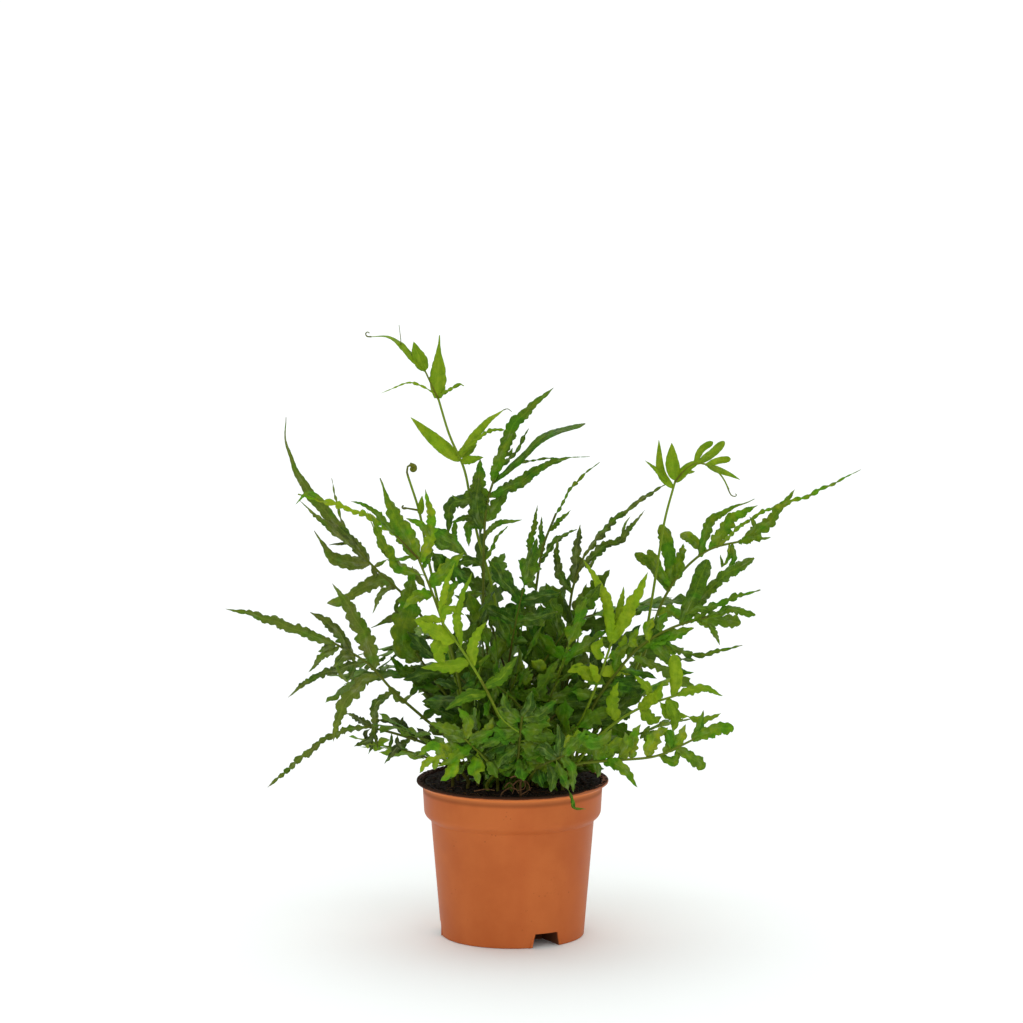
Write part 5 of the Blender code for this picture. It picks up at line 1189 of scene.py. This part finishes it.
def carve(item, tools, operation):
    """Join tools to a piece or cut them from it with one applied Boolean, and remove them."""
    tray = bpy.data.collections.new("tools")
    for tool in tools:
        tray.objects.link(tool)
    cut = item.modifiers.new("carve", "BOOLEAN")
    cut.operation, cut.operand_type, cut.collection, cut.solver = operation, "COLLECTION", tray, "EXACT"
    graph = bpy.context.evaluated_depsgraph_get()
    result = bpy.data.meshes.new_from_object(item.evaluated_get(graph))
    item.modifiers.clear()
    item.data = result
    for tool in tools:
        bpy.data.objects.remove(tool)
    bpy.data.collections.remove(tray)


def make_pot():
    """The pot: a turned shell with a rounded lip and collar, and three drainage channels at its foot."""
    wall = POT_WALL
    profile = rounded([
        (0.6, 0.0, 0), (BASE_RADIUS, 0.0, 1.1), (STEP_RADIUS, STEP_HEIGHT, 0.35),
        (COLLAR_RADIUS, COLLAR_HEIGHT, 2.4), (NECK_RADIUS, NECK_HEIGHT, 1.3), (LIP_RADIUS, LIP_HEIGHT, 0.7),
        (LIP_RADIUS - 0.1, POT_HEIGHT, 0.6), (NECK_RADIUS - 0.2, POT_HEIGHT - LIP_SLOPE, 1.2),
        (NECK_RADIUS - wall, NECK_HEIGHT, 1.0),
        (COLLAR_RADIUS - wall, COLLAR_HEIGHT + COLLAR_INSIDE_RISE, 1.5),
        (STEP_RADIUS - wall, STEP_HEIGHT + STEP_INSIDE_RISE, 0.6),
        (BASE_RADIUS - wall, wall, 0.8), (0.6, wall, 0)])
    skins = Skins()
    earthen(skins, turned(profile, POT_SEGMENTS))
    pot = skins.make("pot_shell", ["pot_plastic"], "pot", "pot")
    turns = [math.radians(-90.0 + NOTCH_FROM_FRONT + 360.0 * index / NOTCH_COUNT)
             for index in range(NOTCH_COUNT)]
    roofs = [channel(wall, turn, CHANNEL_START - wall, BASE_RADIUS - ROOF_INSET) for turn in turns]
    carve(pot, roofs, "UNION")
    channels = [channel(0.0, turn, CHANNEL_START, LIP_RADIUS) for turn in turns]
    carve(pot, channels + [drain(turn) for turn in turns], "DIFFERENCE")
    pot.data.shade_smooth()
    pot.data.set_sharp_from_angle(angle=POT_CREASE)


def soil_waves(rng):
    """Rows of (x rate, y rate, phase, height) for the soil's small lumps, the shorter the lower."""
    length = rng.uniform(*WAVE_LENGTHS, SOIL_WAVES)
    way = rng.uniform(0, 2 * np.pi, SOIL_WAVES)
    rate = 2 * np.pi / length
    height = SOIL_ROUGHNESS * (length / WAVE_LENGTHS[1]) ** WAVE_POWER * math.sqrt(2.0 / SOIL_WAVES)
    phase = rng.uniform(0, 2 * np.pi, SOIL_WAVES)
    return np.stack([rate * np.cos(way), rate * np.sin(way), phase, height * WAVE_GAIN], -1)


def soil_top(x, y, waves):
    """Height of the fine soil: the low mound with a sum of many sines on it, which die out towards the
    pot's wall, where the soil is heaped up."""
    along = x[..., None] * waves[:, 0] + y[..., None] * waves[:, 1] + waves[:, 2]
    lumps = (np.sin(along) * waves[:, 3]).sum(-1)
    radius = np.hypot(x, y)
    share = np.clip((LUMPS_END - radius) / LUMPS_FADE, LUMPS_LEFT, 1.0)
    heap = SOIL_HEAP * np.clip((radius - HEAP_START) / (SOIL_RIM - HEAP_START), 0.0, 1.0) ** HEAP_POWER
    return soil_height(x, y) + lumps * share + heap


def make_soil(rng):
    """The soil: a plug that fills the pot, with a lumpy top, loose crumbs and dry fibres."""
    waves = soil_waves(rng)
    inside = POT_WALL + SOIL_GAP
    side = [(0.6, SOIL_FOOT), (BASE_RADIUS - inside, SOIL_FOOT),
            (STEP_RADIUS - inside, STEP_HEIGHT + STEP_INSIDE_RISE + SOIL_GAP),
            (COLLAR_RADIUS - inside, COLLAR_HEIGHT + COLLAR_INSIDE_RISE + SOIL_GAP), (SOIL_RIM, SOIL_EDGE)]
    top = [(SOIL_RIM * share, SOIL_EDGE) for share in np.linspace(1.0, 0.012, SOIL_ROWS)]
    rings = turned(np.array(side + top), SOIL_SEGMENTS)
    upper = rings[len(side):]
    upper[..., 2] = soil_top(upper[..., 0], upper[..., 1], waves)
    bed, crumbs, straws = Skins(), Skins(), Skins()
    earthen(bed, rings)
    for index in range(CRUMBS + RIM_CRUMBS):
        crumb(crumbs, waves, index >= CRUMBS, rng)
    for index in range(FIBRES):
        fibre(straws, waves, rng)
    bed.make("soil_bed", ["potting_soil"], "soil", "soil")
    crumbs.make("soil_crumbs", ["potting_soil"], "soil")
    straws.make("soil_fibres", ["dry_stalk"], "soil")


def crumb(skins, waves, on_rim, rng):
    """A crumb of soil: a squat ball of five by four points, each pushed in or out at random."""
    turn = rng.uniform(0, 2 * np.pi)
    if on_rim:
        radius, size = rng.uniform(*RIM_CRUMB_REACH), rng.uniform(*RIM_CRUMB_SIZES)
    else:
        radius = CRUMB_REACH * math.sqrt(rng.uniform())
        size = CRUMB_SIZE + CRUMB_EXTRA * rng.uniform() ** CRUMB_POWER
    x, y = radius * math.cos(turn), radius * math.sin(turn)
    if on_rim:
        climb = (radius - RIM_CRUMB_REACH[0]) * RIM_CLIMB
        height = min(POT_HEIGHT, SOIL_EDGE + SOIL_HEAP + climb) + 0.1 * size
    else:
        height = float(soil_top(np.array(x), np.array(y), waves)) + 0.25 * size
    turn = 2 * np.pi * np.arange(5) / 5 + rng.uniform(*WAVE_STARTS)
    pushed = size * rng.uniform(*CRUMB_PUSH, (4, 5))
    across = np.sin(CRUMB_POLAR)
    squat = CRUMB_SQUAT * np.cos(CRUMB_POLAR)
    ball = over_grid((4, 5), across * np.cos(turn), across * np.sin(turn), squat)
    stretch = np.array((1.0, rng.uniform(*CRUMB_STRETCH), 1.0))
    earthen(skins, np.array((x, y, height)) + ball * pushed[..., None] * stretch, rng.uniform())


def fibre(skins, waves, rng):
    """A dry fibre or root end that lies on the soil: a short bent straw."""
    radius = FIBRE_REACH * math.sqrt(rng.uniform())
    turn, way = rng.uniform(0, 2 * np.pi, 2)
    length, bend = rng.uniform(*FIBRE_LENGTHS), rng.uniform(-FIBRE_BEND, FIBRE_BEND)
    far = np.linspace(0.0, length, 6)
    x = radius * math.cos(turn) + far * np.cos(way + bend * far)
    y = radius * math.sin(turn) + far * np.sin(way + bend * far)
    inside = np.minimum(1.0, CRUMB_REACH / np.maximum(np.hypot(x, y), 1.0))
    x, y = x * inside, y * inside
    arch = rng.uniform(0.0, FIBRE_ARCH) * np.sin(np.pi * far / length)
    height = soil_top(x, y, waves) + FIBRE_CLEAR + arch
    thick = rng.uniform(*FIBRE_RADII)
    line = np.stack([x, y, height], -1)
    stem(skins, line, thick, thick * THREAD_TAPER, rng.uniform(), 0, sides=4, station=FIBRE_STATION)


def make_old_stipe(rng):
    """The dry stub of an old stipe, curled over at the front of the soil, with split strands beside it."""
    skins = Skins()
    line = curve([Node("old_stipe").foot()] + [seen(*point) for point in OLD_STIPE], 10)
    stem(skins, line, OLD_STIPE_RADIUS, OLD_STIPE_RADIUS * THREAD_TAPER, 0.5, 0)
    for points in DRY_CURLS:
        line = curve([seen(*point) for point in points], 6)
        stem(skins, line, *DRY_CURL_RADII, rng.uniform(0.5, 1.0), 0, sides=6, station=0.8)
    skins.make("old_stipe_curl", ["dry_stalk"], "old_stipe", "old_stipe")


def paint(red, green, blue):
    """A colour given as seen on a screen, from 0 to 255, as the linear values that shaders take."""
    parts = [((part / 255.0 + 0.055) / 1.055) ** 2.4 for part in (red, green, blue)]
    return (*parts, 1.0)


# Colours of the leaves as seen on a screen, from 0 to 255; the last of each is a painted sheen
LEAF_LABELS = ("Dark", "Middle", "Light", "Vein", "Underside", "Bloom")
LEAF_COLOURS = {
    "fern_leaf": ((33, 65, 6), (77, 111, 8), (130, 157, 12), (130, 154, 30), (94, 120, 28), (112, 143, 64)),
    "old_leaf": ((40, 60, 13), (86, 105, 25), (124, 141, 42), (136, 148, 58), (100, 118, 40), (122, 138, 84)),
    "young_leaf": ((60, 96, 2), (98, 132, 4), (136, 162, 18), (142, 166, 34), (116, 140, 20), (134, 162, 30)),
}
DRY_TIP = paint(118, 104, 92)
# How dry its tips are, how rough it is and how much its green varies
LEAF_HABITS = {
    "fern_leaf": {"Dry tips": 0.5, "Roughness": 0.5, "Variety": 1.1},
    "old_leaf": {"Dry tips": 0.7, "Roughness": 0.5, "Variety": 0.8},
    "young_leaf": {"Dry tips": 0.15, "Roughness": 0.44, "Variety": 0.3},
}
# How much of each colour is left where a leaf is purer and where it is greyer than its own green
PURER_GREEN = (0.66, 1.0, 0.28, 1.0)
GREYER_GREEN = (1.16, 0.97, 1.7, 1.0)
# Stalks: dark, light, foot
STALK_LABELS = ("Dark", "Light", "Foot")
STALK_COLOURS = {
    "stipe": ((78, 90, 18), (106, 126, 28), (74, 60, 20)),
    "young_stipe": ((98, 122, 20), (120, 148, 28), (88, 84, 22)),
    "dry_stalk": ((92, 62, 36), (168, 128, 84), (76, 50, 30)),
}
STALK_ROUGHNESS = {"stipe": 0.5, "young_stipe": 0.5, "dry_stalk": 0.8}

# Pot: its plastic, and where it has painted light from just under the lip up, is soiled, is dark with
# earth or has painted shade in its channels and under its foot, as spans in metres
PLASTIC = paint(178, 92, 44)
PLASTIC_CLOUD = paint(190, 103, 52)
PLASTIC_FLOW = paint(172, 82, 38)
# painted light: paler plastic laid on from just under the lip up, lifting the shade there
PLASTIC_PAINTED_LIGHT = paint(214, 124, 66)
PLASTIC_SOILED = paint(120, 58, 36)
PLASTIC_SPECK = paint(60, 34, 22)
POT_EARTH = paint(34, 24, 17)
# painted shade: a dark colour for the insides of the channels and the pot's underside
POT_CHANNEL_SHADE = paint(44, 34, 28)
# heights over which the painted light under the lip fades in
PAINTED_LIGHT_HEIGHT = (0.0915, 0.0945)
SOILED_HEIGHT = (0.0962, 0.0968)
EARTH_HEIGHT = (0.0968, 0.0974)
CLEAN_SIDE = (0.026, 0.05)
INNER_RADIUS = (0.0565, 0.0555)
INNER_HEIGHT = (0.09, 0.093)
# radius and height below which the painted shade in the channels and under the foot comes in
CHANNEL_SHADE_RADIUS = (0.0446, 0.0436)
CHANNEL_SHADE_HEIGHT = (0.0096, 0.0088)

# Soil
SOIL_DARK = paint(17, 13, 10)
SOIL_BROWN = paint(50, 37, 27)
SOIL_CRUMB = paint(66, 47, 33)
SOIL_GRIT = paint(120, 98, 76)


class Value:
    """A value in a material or group. Arithmetic on it adds the nodes that work it out."""

    def __init__(self, graph, socket):
        self.graph, self.socket = graph, socket

    def __add__(self, other):
        return self.graph.math("ADD", self, other)

    def __sub__(self, other):
        return self.graph.math("SUBTRACT", self, other)

    def __mul__(self, other):
        return self.graph.math("MULTIPLY", self, other)

    def step(self, low, high):
        """A smooth step from 0 to 1 as the value goes from low to high."""
        inputs = {"Value": self, "From Min": low, "From Max": high}
        return self.graph.out("MapRange", inputs, interpolation_type="SMOOTHSTEP")


class Graph:
    """The nodes and links of one material or group."""

    def __init__(self, tree):
        self.tree = tree

    def node(self, kind, inputs, **settings):
        """A node with its settings and inputs; an input is a plain value or another node's."""
        made = self.tree.nodes.new("ShaderNode" + kind)
        for label, setting in settings.items():
            setattr(made, label, setting)
        for label, value in inputs.items():
            self.feed(value, made.inputs[label])
        return made

    def out(self, kind, inputs, output=0, **settings):
        """One output of a new node."""
        return Value(self, self.node(kind, inputs, **settings).outputs[output])

    def all_out(self, made):
        """Every output of a node, by name."""
        return {socket.name: Value(self, socket) for socket in made.outputs}

    def feed(self, value, socket):
        """Link a node's output to a socket, or set the socket's own value."""
        if isinstance(value, Value):
            self.tree.links.new(value.socket, socket)
        else:
            socket.default_value = value

    def math(self, operation, first, second=0.0):
        """One arithmetic step."""
        return self.out("Math", {0: first, 1: second}, operation=operation)

    def layers(self, colour, *rows):
        """A colour with others laid over it, as (share, colour) or (share, colour, way of mixing)."""
        for share, over, *blend in rows:
            inputs = {0: share, 6: colour, 7: over}
            colour = self.out("Mix", inputs, 2, data_type="RGBA", blend_type=blend[0] if blend else "MIX")
        return colour

    def noise(self, vector, scale, detail=2.0, rough=0.5):
        """Soft noise from 0 to 1."""
        return self.out("TexNoise", {"Vector": vector, "Scale": scale, "Detail": detail, "Roughness": rough})

    def split(self, vector):
        """The three parts of a vector."""
        return list(self.all_out(self.node("SeparateXYZ", {0: vector})).values())

    def joined(self, *parts):
        """A vector from up to three parts."""
        return self.out("CombineXYZ", dict(enumerate(parts)))

    def attribute(self, name):
        """The three parts of one of the piece's own attributes."""
        return self.split(self.out("Attribute", {}, "Vector", attribute_name=name))

    def object_place(self):
        """Object coordinates, in metres."""
        return self.out("TexCoord", {}, "Object")

    def use(self, tree, inputs):
        """The outputs of a group placed here with its own inputs."""
        return self.all_out(self.node("Group", inputs, node_tree=tree))

    def bumped(self, height, distance, strength=0.6):
        """A normal from a height whose full step is distance, in metres."""
        return self.out("Bump", {"Height": height, "Distance": distance, "Strength": strength})


def group(name, takes, gives, fill):
    """A node group that fill wires up. takes and gives hold each socket's label and first value, which
    is a colour where it has four parts and else a number."""
    tree = bpy.data.node_groups.new(name, "ShaderNodeTree")
    for way, sockets in (("INPUT", takes), ("OUTPUT", gives)):
        for label, value in sockets.items():
            kind = "NodeSocketColor" if isinstance(value, tuple) else "NodeSocketFloat"
            tree.interface.new_socket(label, in_out=way, socket_type=kind).default_value = value
    graph = Graph(tree)
    taken = graph.all_out(tree.nodes.new("NodeGroupInput"))
    given = tree.nodes.new("NodeGroupOutput").inputs
    for label, value in fill(graph, taken).items():
        graph.feed(value, given[label])
    return tree


def leaf_surface(graph, taken):
    """Leaf colour by tone, clouds and mottles, with paler side veins and midrib, a painted highlight along
    the edge, streaks of painted sheen, purer and greyer greens, a duller underside and dry tips."""
    run, across, out = graph.attribute("place")
    tone, share, above = graph.attribute("tone")
    place = graph.object_place()
    clouds = graph.noise(place, 65.0, 3.0)
    mottles = graph.noise(place, 280.0)
    shade = graph.noise(place, 95.0, 1.0)
    varied = tone + (clouds - 0.5) * 0.42 + (mottles - 0.5) * 0.75
    wide = graph.math("ABSOLUTE", across)
    vein = graph.math("SINE", run * 4.6 + wide * -3.4).step(0.55, 1.0)
    rib = wide.step(0.6, 0.1)
    # rim: a painted highlight along both edges of the leaf, laid on in the vein colour
    rim = graph.math("ABSOLUTE", out).step(0.86, 1.0)
    # streaks of painted sheen, standing in for the gloss of the leaves
    streaks = graph.noise(graph.joined(run * 0.2, across, clouds), 0.8)
    below = above.step(0.6, 0.2)
    colour = graph.layers(
        taken["Dark"], (varied.step(0.0, 0.5), taken["Middle"]), (varied.step(0.45, 1.0), taken["Light"]),
        (vein * 0.14, taken["Vein"]), (rim * 0.12, taken["Vein"]), (rib * 0.18, taken["Vein"]),
        (streaks.step(0.5, 0.78) * 0.55, taken["Bloom"]),
        (shade.step(0.48, 0.34) * taken["Variety"], PURER_GREEN, "MULTIPLY"),
        (shade.step(0.52, 0.66) * taken["Variety"], GREYER_GREEN, "MULTIPLY"),
        (below * 0.4, taken["Underside"]), (share.step(0.93, 1.0) * taken["Dry tips"], taken["Dry"]))
    height = graph.noise(place, 900.0) * 0.35 - vein * 0.6 + mottles * 8.0
    rough = (clouds - 0.5) * 0.3 + below * 0.12 + taken["Roughness"]
    return {"Colour": colour, "Roughness": rough, "Height": height}


def stalk_surface(graph, taken):
    """Stalk colour by tone, browner at the foot, with fine lengthwise streaks."""
    run, turn = graph.attribute("place")[:2]
    tone = graph.attribute("tone")[0]
    streak = graph.noise(graph.joined(run * 0.12, turn), 4.0, 3.0)
    colour = graph.layers(
        taken["Dark"], (tone.step(0.1, 0.9), taken["Light"]), (run.step(34.0, 4.0) * 0.75, taken["Foot"]),
        (streak.step(0.35, 0.75) * 0.4, taken["Foot"]))
    return {"Colour": colour, "Height": streak}


def speckle(graph, taken):
    """Masks of small specks from cells that noise leaves out in places, of soft clouds and of grain."""
    place = graph.object_place()
    cells = graph.out("TexVoronoi", {"Vector": place, "Scale": taken["Scale"]}, "Distance")
    specks = cells.step(0.2, 0.08) * graph.noise(place, 55.0, 3.0).step(taken["From"], 0.8)
    clouds = graph.noise(place, 24.0, 4.0, 0.6)
    return {"Specks": specks, "Clouds": clouds, "Grain": graph.noise(place, 1500.0, 3.0)}


def make_finish(name, wire, own):
    """A material with one Principled shader: wire gives what is linked to it, and own its own values."""
    made = bpy.data.materials.new(name)
    made.use_nodes = True
    graph = Graph(made.node_tree)
    shader = made.node_tree.nodes["Principled BSDF"]
    for label, value in {**own, **wire(graph)}.items():
        graph.feed(value, shader.inputs[label])
    FINISHES[name] = made
    return made


def leaf_finish(name, tree):
    """A leaf material from its colours and habits."""
    colours = {label: paint(*colour) for label, colour in zip(LEAF_LABELS, LEAF_COLOURS[name])}

    def wire(graph):
        surface = graph.use(tree, {**colours, **LEAF_HABITS[name], "Dry": DRY_TIP})
        return {"Base Color": surface["Colour"], "Roughness": surface["Roughness"],
                "Normal": graph.bumped(surface["Height"], 0.00025)}
    make_finish(name, wire, {"Specular IOR Level": 0.11})


def stalk_finish(name, tree):
    """A stalk material from the colours of its dark and light fronds and of its foot."""
    colours = {label: paint(*colour) for label, colour in zip(STALK_LABELS, STALK_COLOURS[name])}

    def wire(graph):
        surface = graph.use(tree, colours)
        return {"Base Color": surface["Colour"], "Normal": graph.bumped(surface["Height"], 0.0003)}
    make_finish(name, wire, {"Roughness": STALK_ROUGHNESS[name], "Specular IOR Level": 0.12})


def pot_finish(tree):
    """Terracotta-coloured plastic: faint clouds, upright flow marks, soil specks and a fine grain, painted
    light from just under the lip up, soiled on the lip with a ragged edge, and painted shade in its
    channels and under its foot."""
    def wire(graph):
        marks = graph.use(tree, {"Scale": 330.0, "From": 0.54})
        place = graph.object_place()
        x, y, height = graph.split(place)
        radius = graph.out("VectorMath", {0: graph.joined(x, y)}, "Value", operation="LENGTH")
        flow = graph.noise(graph.out("Mapping", {0: place, "Scale": (38.0, 38.0, 3.0)}), 1.0, 3.0)
        ragged = (graph.noise(place, 140.0, 4.0, 0.7) - 0.5) * 0.0015
        level = height + ragged - x.step(*CLEAN_SIDE) * 0.0012
        inner = radius.step(*INNER_RADIUS) * height.step(*INNER_HEIGHT)
        earth = graph.math("MAXIMUM", level.step(*EARTH_HEIGHT), inner)
        # painted shade in the channels and under the foot, where radius and height are both small
        under = radius.step(*CHANNEL_SHADE_RADIUS) * height.step(*CHANNEL_SHADE_HEIGHT)
        colour = graph.layers(
            PLASTIC, (marks["Clouds"].step(0.3, 0.7), PLASTIC_CLOUD),
            # painted light from just under the lip up, and painted shade in the channels and under the foot
            (flow.step(0.4, 0.75) * 0.35, PLASTIC_FLOW), (height.step(*PAINTED_LIGHT_HEIGHT) * 0.95, PLASTIC_PAINTED_LIGHT),
            (under * 0.8, POT_CHANNEL_SHADE), (marks["Specks"] * 0.75, PLASTIC_SPECK),
            (height.step(*SOILED_HEIGHT) * 0.6, PLASTIC_SOILED), (earth * 0.93, POT_EARTH))
        rough = marks["Clouds"].step(0.3, 0.75) * 0.12 + 0.4 + earth * 0.35
        grain = graph.bumped(marks["Grain"], 0.00012, 0.5)
        return {"Base Color": colour, "Roughness": rough, "Normal": grain}
    make_finish("pot_plastic", wire, {"Specular IOR Level": 0.1})


def soil_finish(tree):
    """Damp potting soil: near black, with browner crumbs and pale grit."""
    def wire(graph):
        marks = graph.use(tree, {"Scale": 520.0, "From": 0.5})
        fine = graph.noise(graph.object_place(), 420.0, 4.0, 0.7)
        colour = graph.layers(
            SOIL_DARK, (fine.step(0.35, 0.75), SOIL_BROWN),
            (graph.attribute("tone")[0] * 0.55, SOIL_CRUMB), (marks["Specks"] * 0.5, SOIL_GRIT))
        return {"Base Color": colour, "Normal": graph.bumped(fine, 0.0012, 0.9)}
    make_finish("potting_soil", wire, {"Roughness": 0.92, "Specular IOR Level": 0.2})


def make_finishes():
    """Every material of the plant and its pot."""
    grey = (0.5, 0.5, 0.5, 1.0)
    takes = {**dict.fromkeys((*LEAF_LABELS, "Dry"), grey), **LEAF_HABITS["fern_leaf"]}
    gives = {"Colour": grey, "Roughness": 0.5, "Height": 0.0}
    leaf_tree = group("leaf_surface", takes, gives, leaf_surface)
    takes, gives = dict.fromkeys(STALK_LABELS, grey), {"Colour": grey, "Height": 0.0}
    stalk_tree = group("stalk_surface", takes, gives, stalk_surface)
    takes, gives = {"Scale": 300.0, "From": 0.5}, dict.fromkeys(("Specks", "Clouds", "Grain"), 0.0)
    speck_tree = group("speckle", takes, gives, speckle)
    for name in LEAF_COLOURS:
        leaf_finish(name, leaf_tree)
    for name in STALK_COLOURS:
        stalk_finish(name, stalk_tree)
    pot_finish(speck_tree)
    soil_finish(speck_tree)


def make_fronds():
    """Every frond, each in place of its CAD node."""
    rng = np.random.default_rng(LEAF_SEED)
    for name in OUTER_FRONDS:
        outer_frond(name, rng)
    for sprig in sprigs():
        sprig_frond(sprig, rng)


# Floor, sky, and lamps far away as (name, where they shine from, spread in degrees, power)
FLOOR_HALF = 30.0
FLOOR_LOOK = {"Base Color": (0.935, 0.972, 0.962, 1.0), "Roughness": 0.8}
SKY_STRENGTH = 0.66
LAMPS = (
    ("key_lamp", (-0.1, 0.9, 2.0), 75.0, 1.4),
    ("front_lamp", (0.2, -2.0, 0.5), 80.0, 0.9),
)


def make_stage():
    """A wide pale floor, soft light from all round and above, and the camera."""
    scene = bpy.context.scene
    mesh = bpy.data.meshes.new("floor")
    corners = [(x * FLOOR_HALF, y * FLOOR_HALF, 0.0) for x, y in ((-1, -1), (1, -1), (1, 1), (-1, 1))]
    mesh.from_pydata(corners, [], [(0, 1, 2, 3)])
    mesh.materials.append(make_finish("pale_floor", lambda graph: {}, FLOOR_LOOK))
    put("floor", mesh)
    world = bpy.data.worlds.new("soft_room")
    world.use_nodes = True
    world.node_tree.nodes["Background"].inputs["Color"].default_value = (1.0, 1.0, 1.0, 1.0)
    world.node_tree.nodes["Background"].inputs["Strength"].default_value = SKY_STRENGTH
    scene.world = world
    for name, place, spread, power in LAMPS:
        lamp = bpy.data.lights.new(name, "SUN")
        lamp.energy, lamp.angle = power, math.radians(spread)
        item = put(name, lamp)
        item.location = place
        item.rotation_euler = Vector(place).to_track_quat("Z", "Y").to_euler()
    lens = bpy.data.cameras.new("camera")
    lens.sensor_width, lens.lens, lens.shift_x, lens.clip_end = 36.0, EYE_LENS, EYE_SHIFT, 60.0
    camera = put("camera", lens)
    camera.location = tuple(EYE * MM)
    camera.rotation_euler = (math.radians(90.0 - EYE_TILT), 0.0, 0.0)
    scene.camera = camera
    scene.view_settings.view_transform = "Standard"


def main():
    """The whole scene."""
    make_finishes()
    make_pot()
    make_soil(np.random.default_rng(CRUMB_SEED))
    make_old_stipe(np.random.default_rng(CRUMB_SEED + 1))
    make_fronds()
    make_stage()


main()
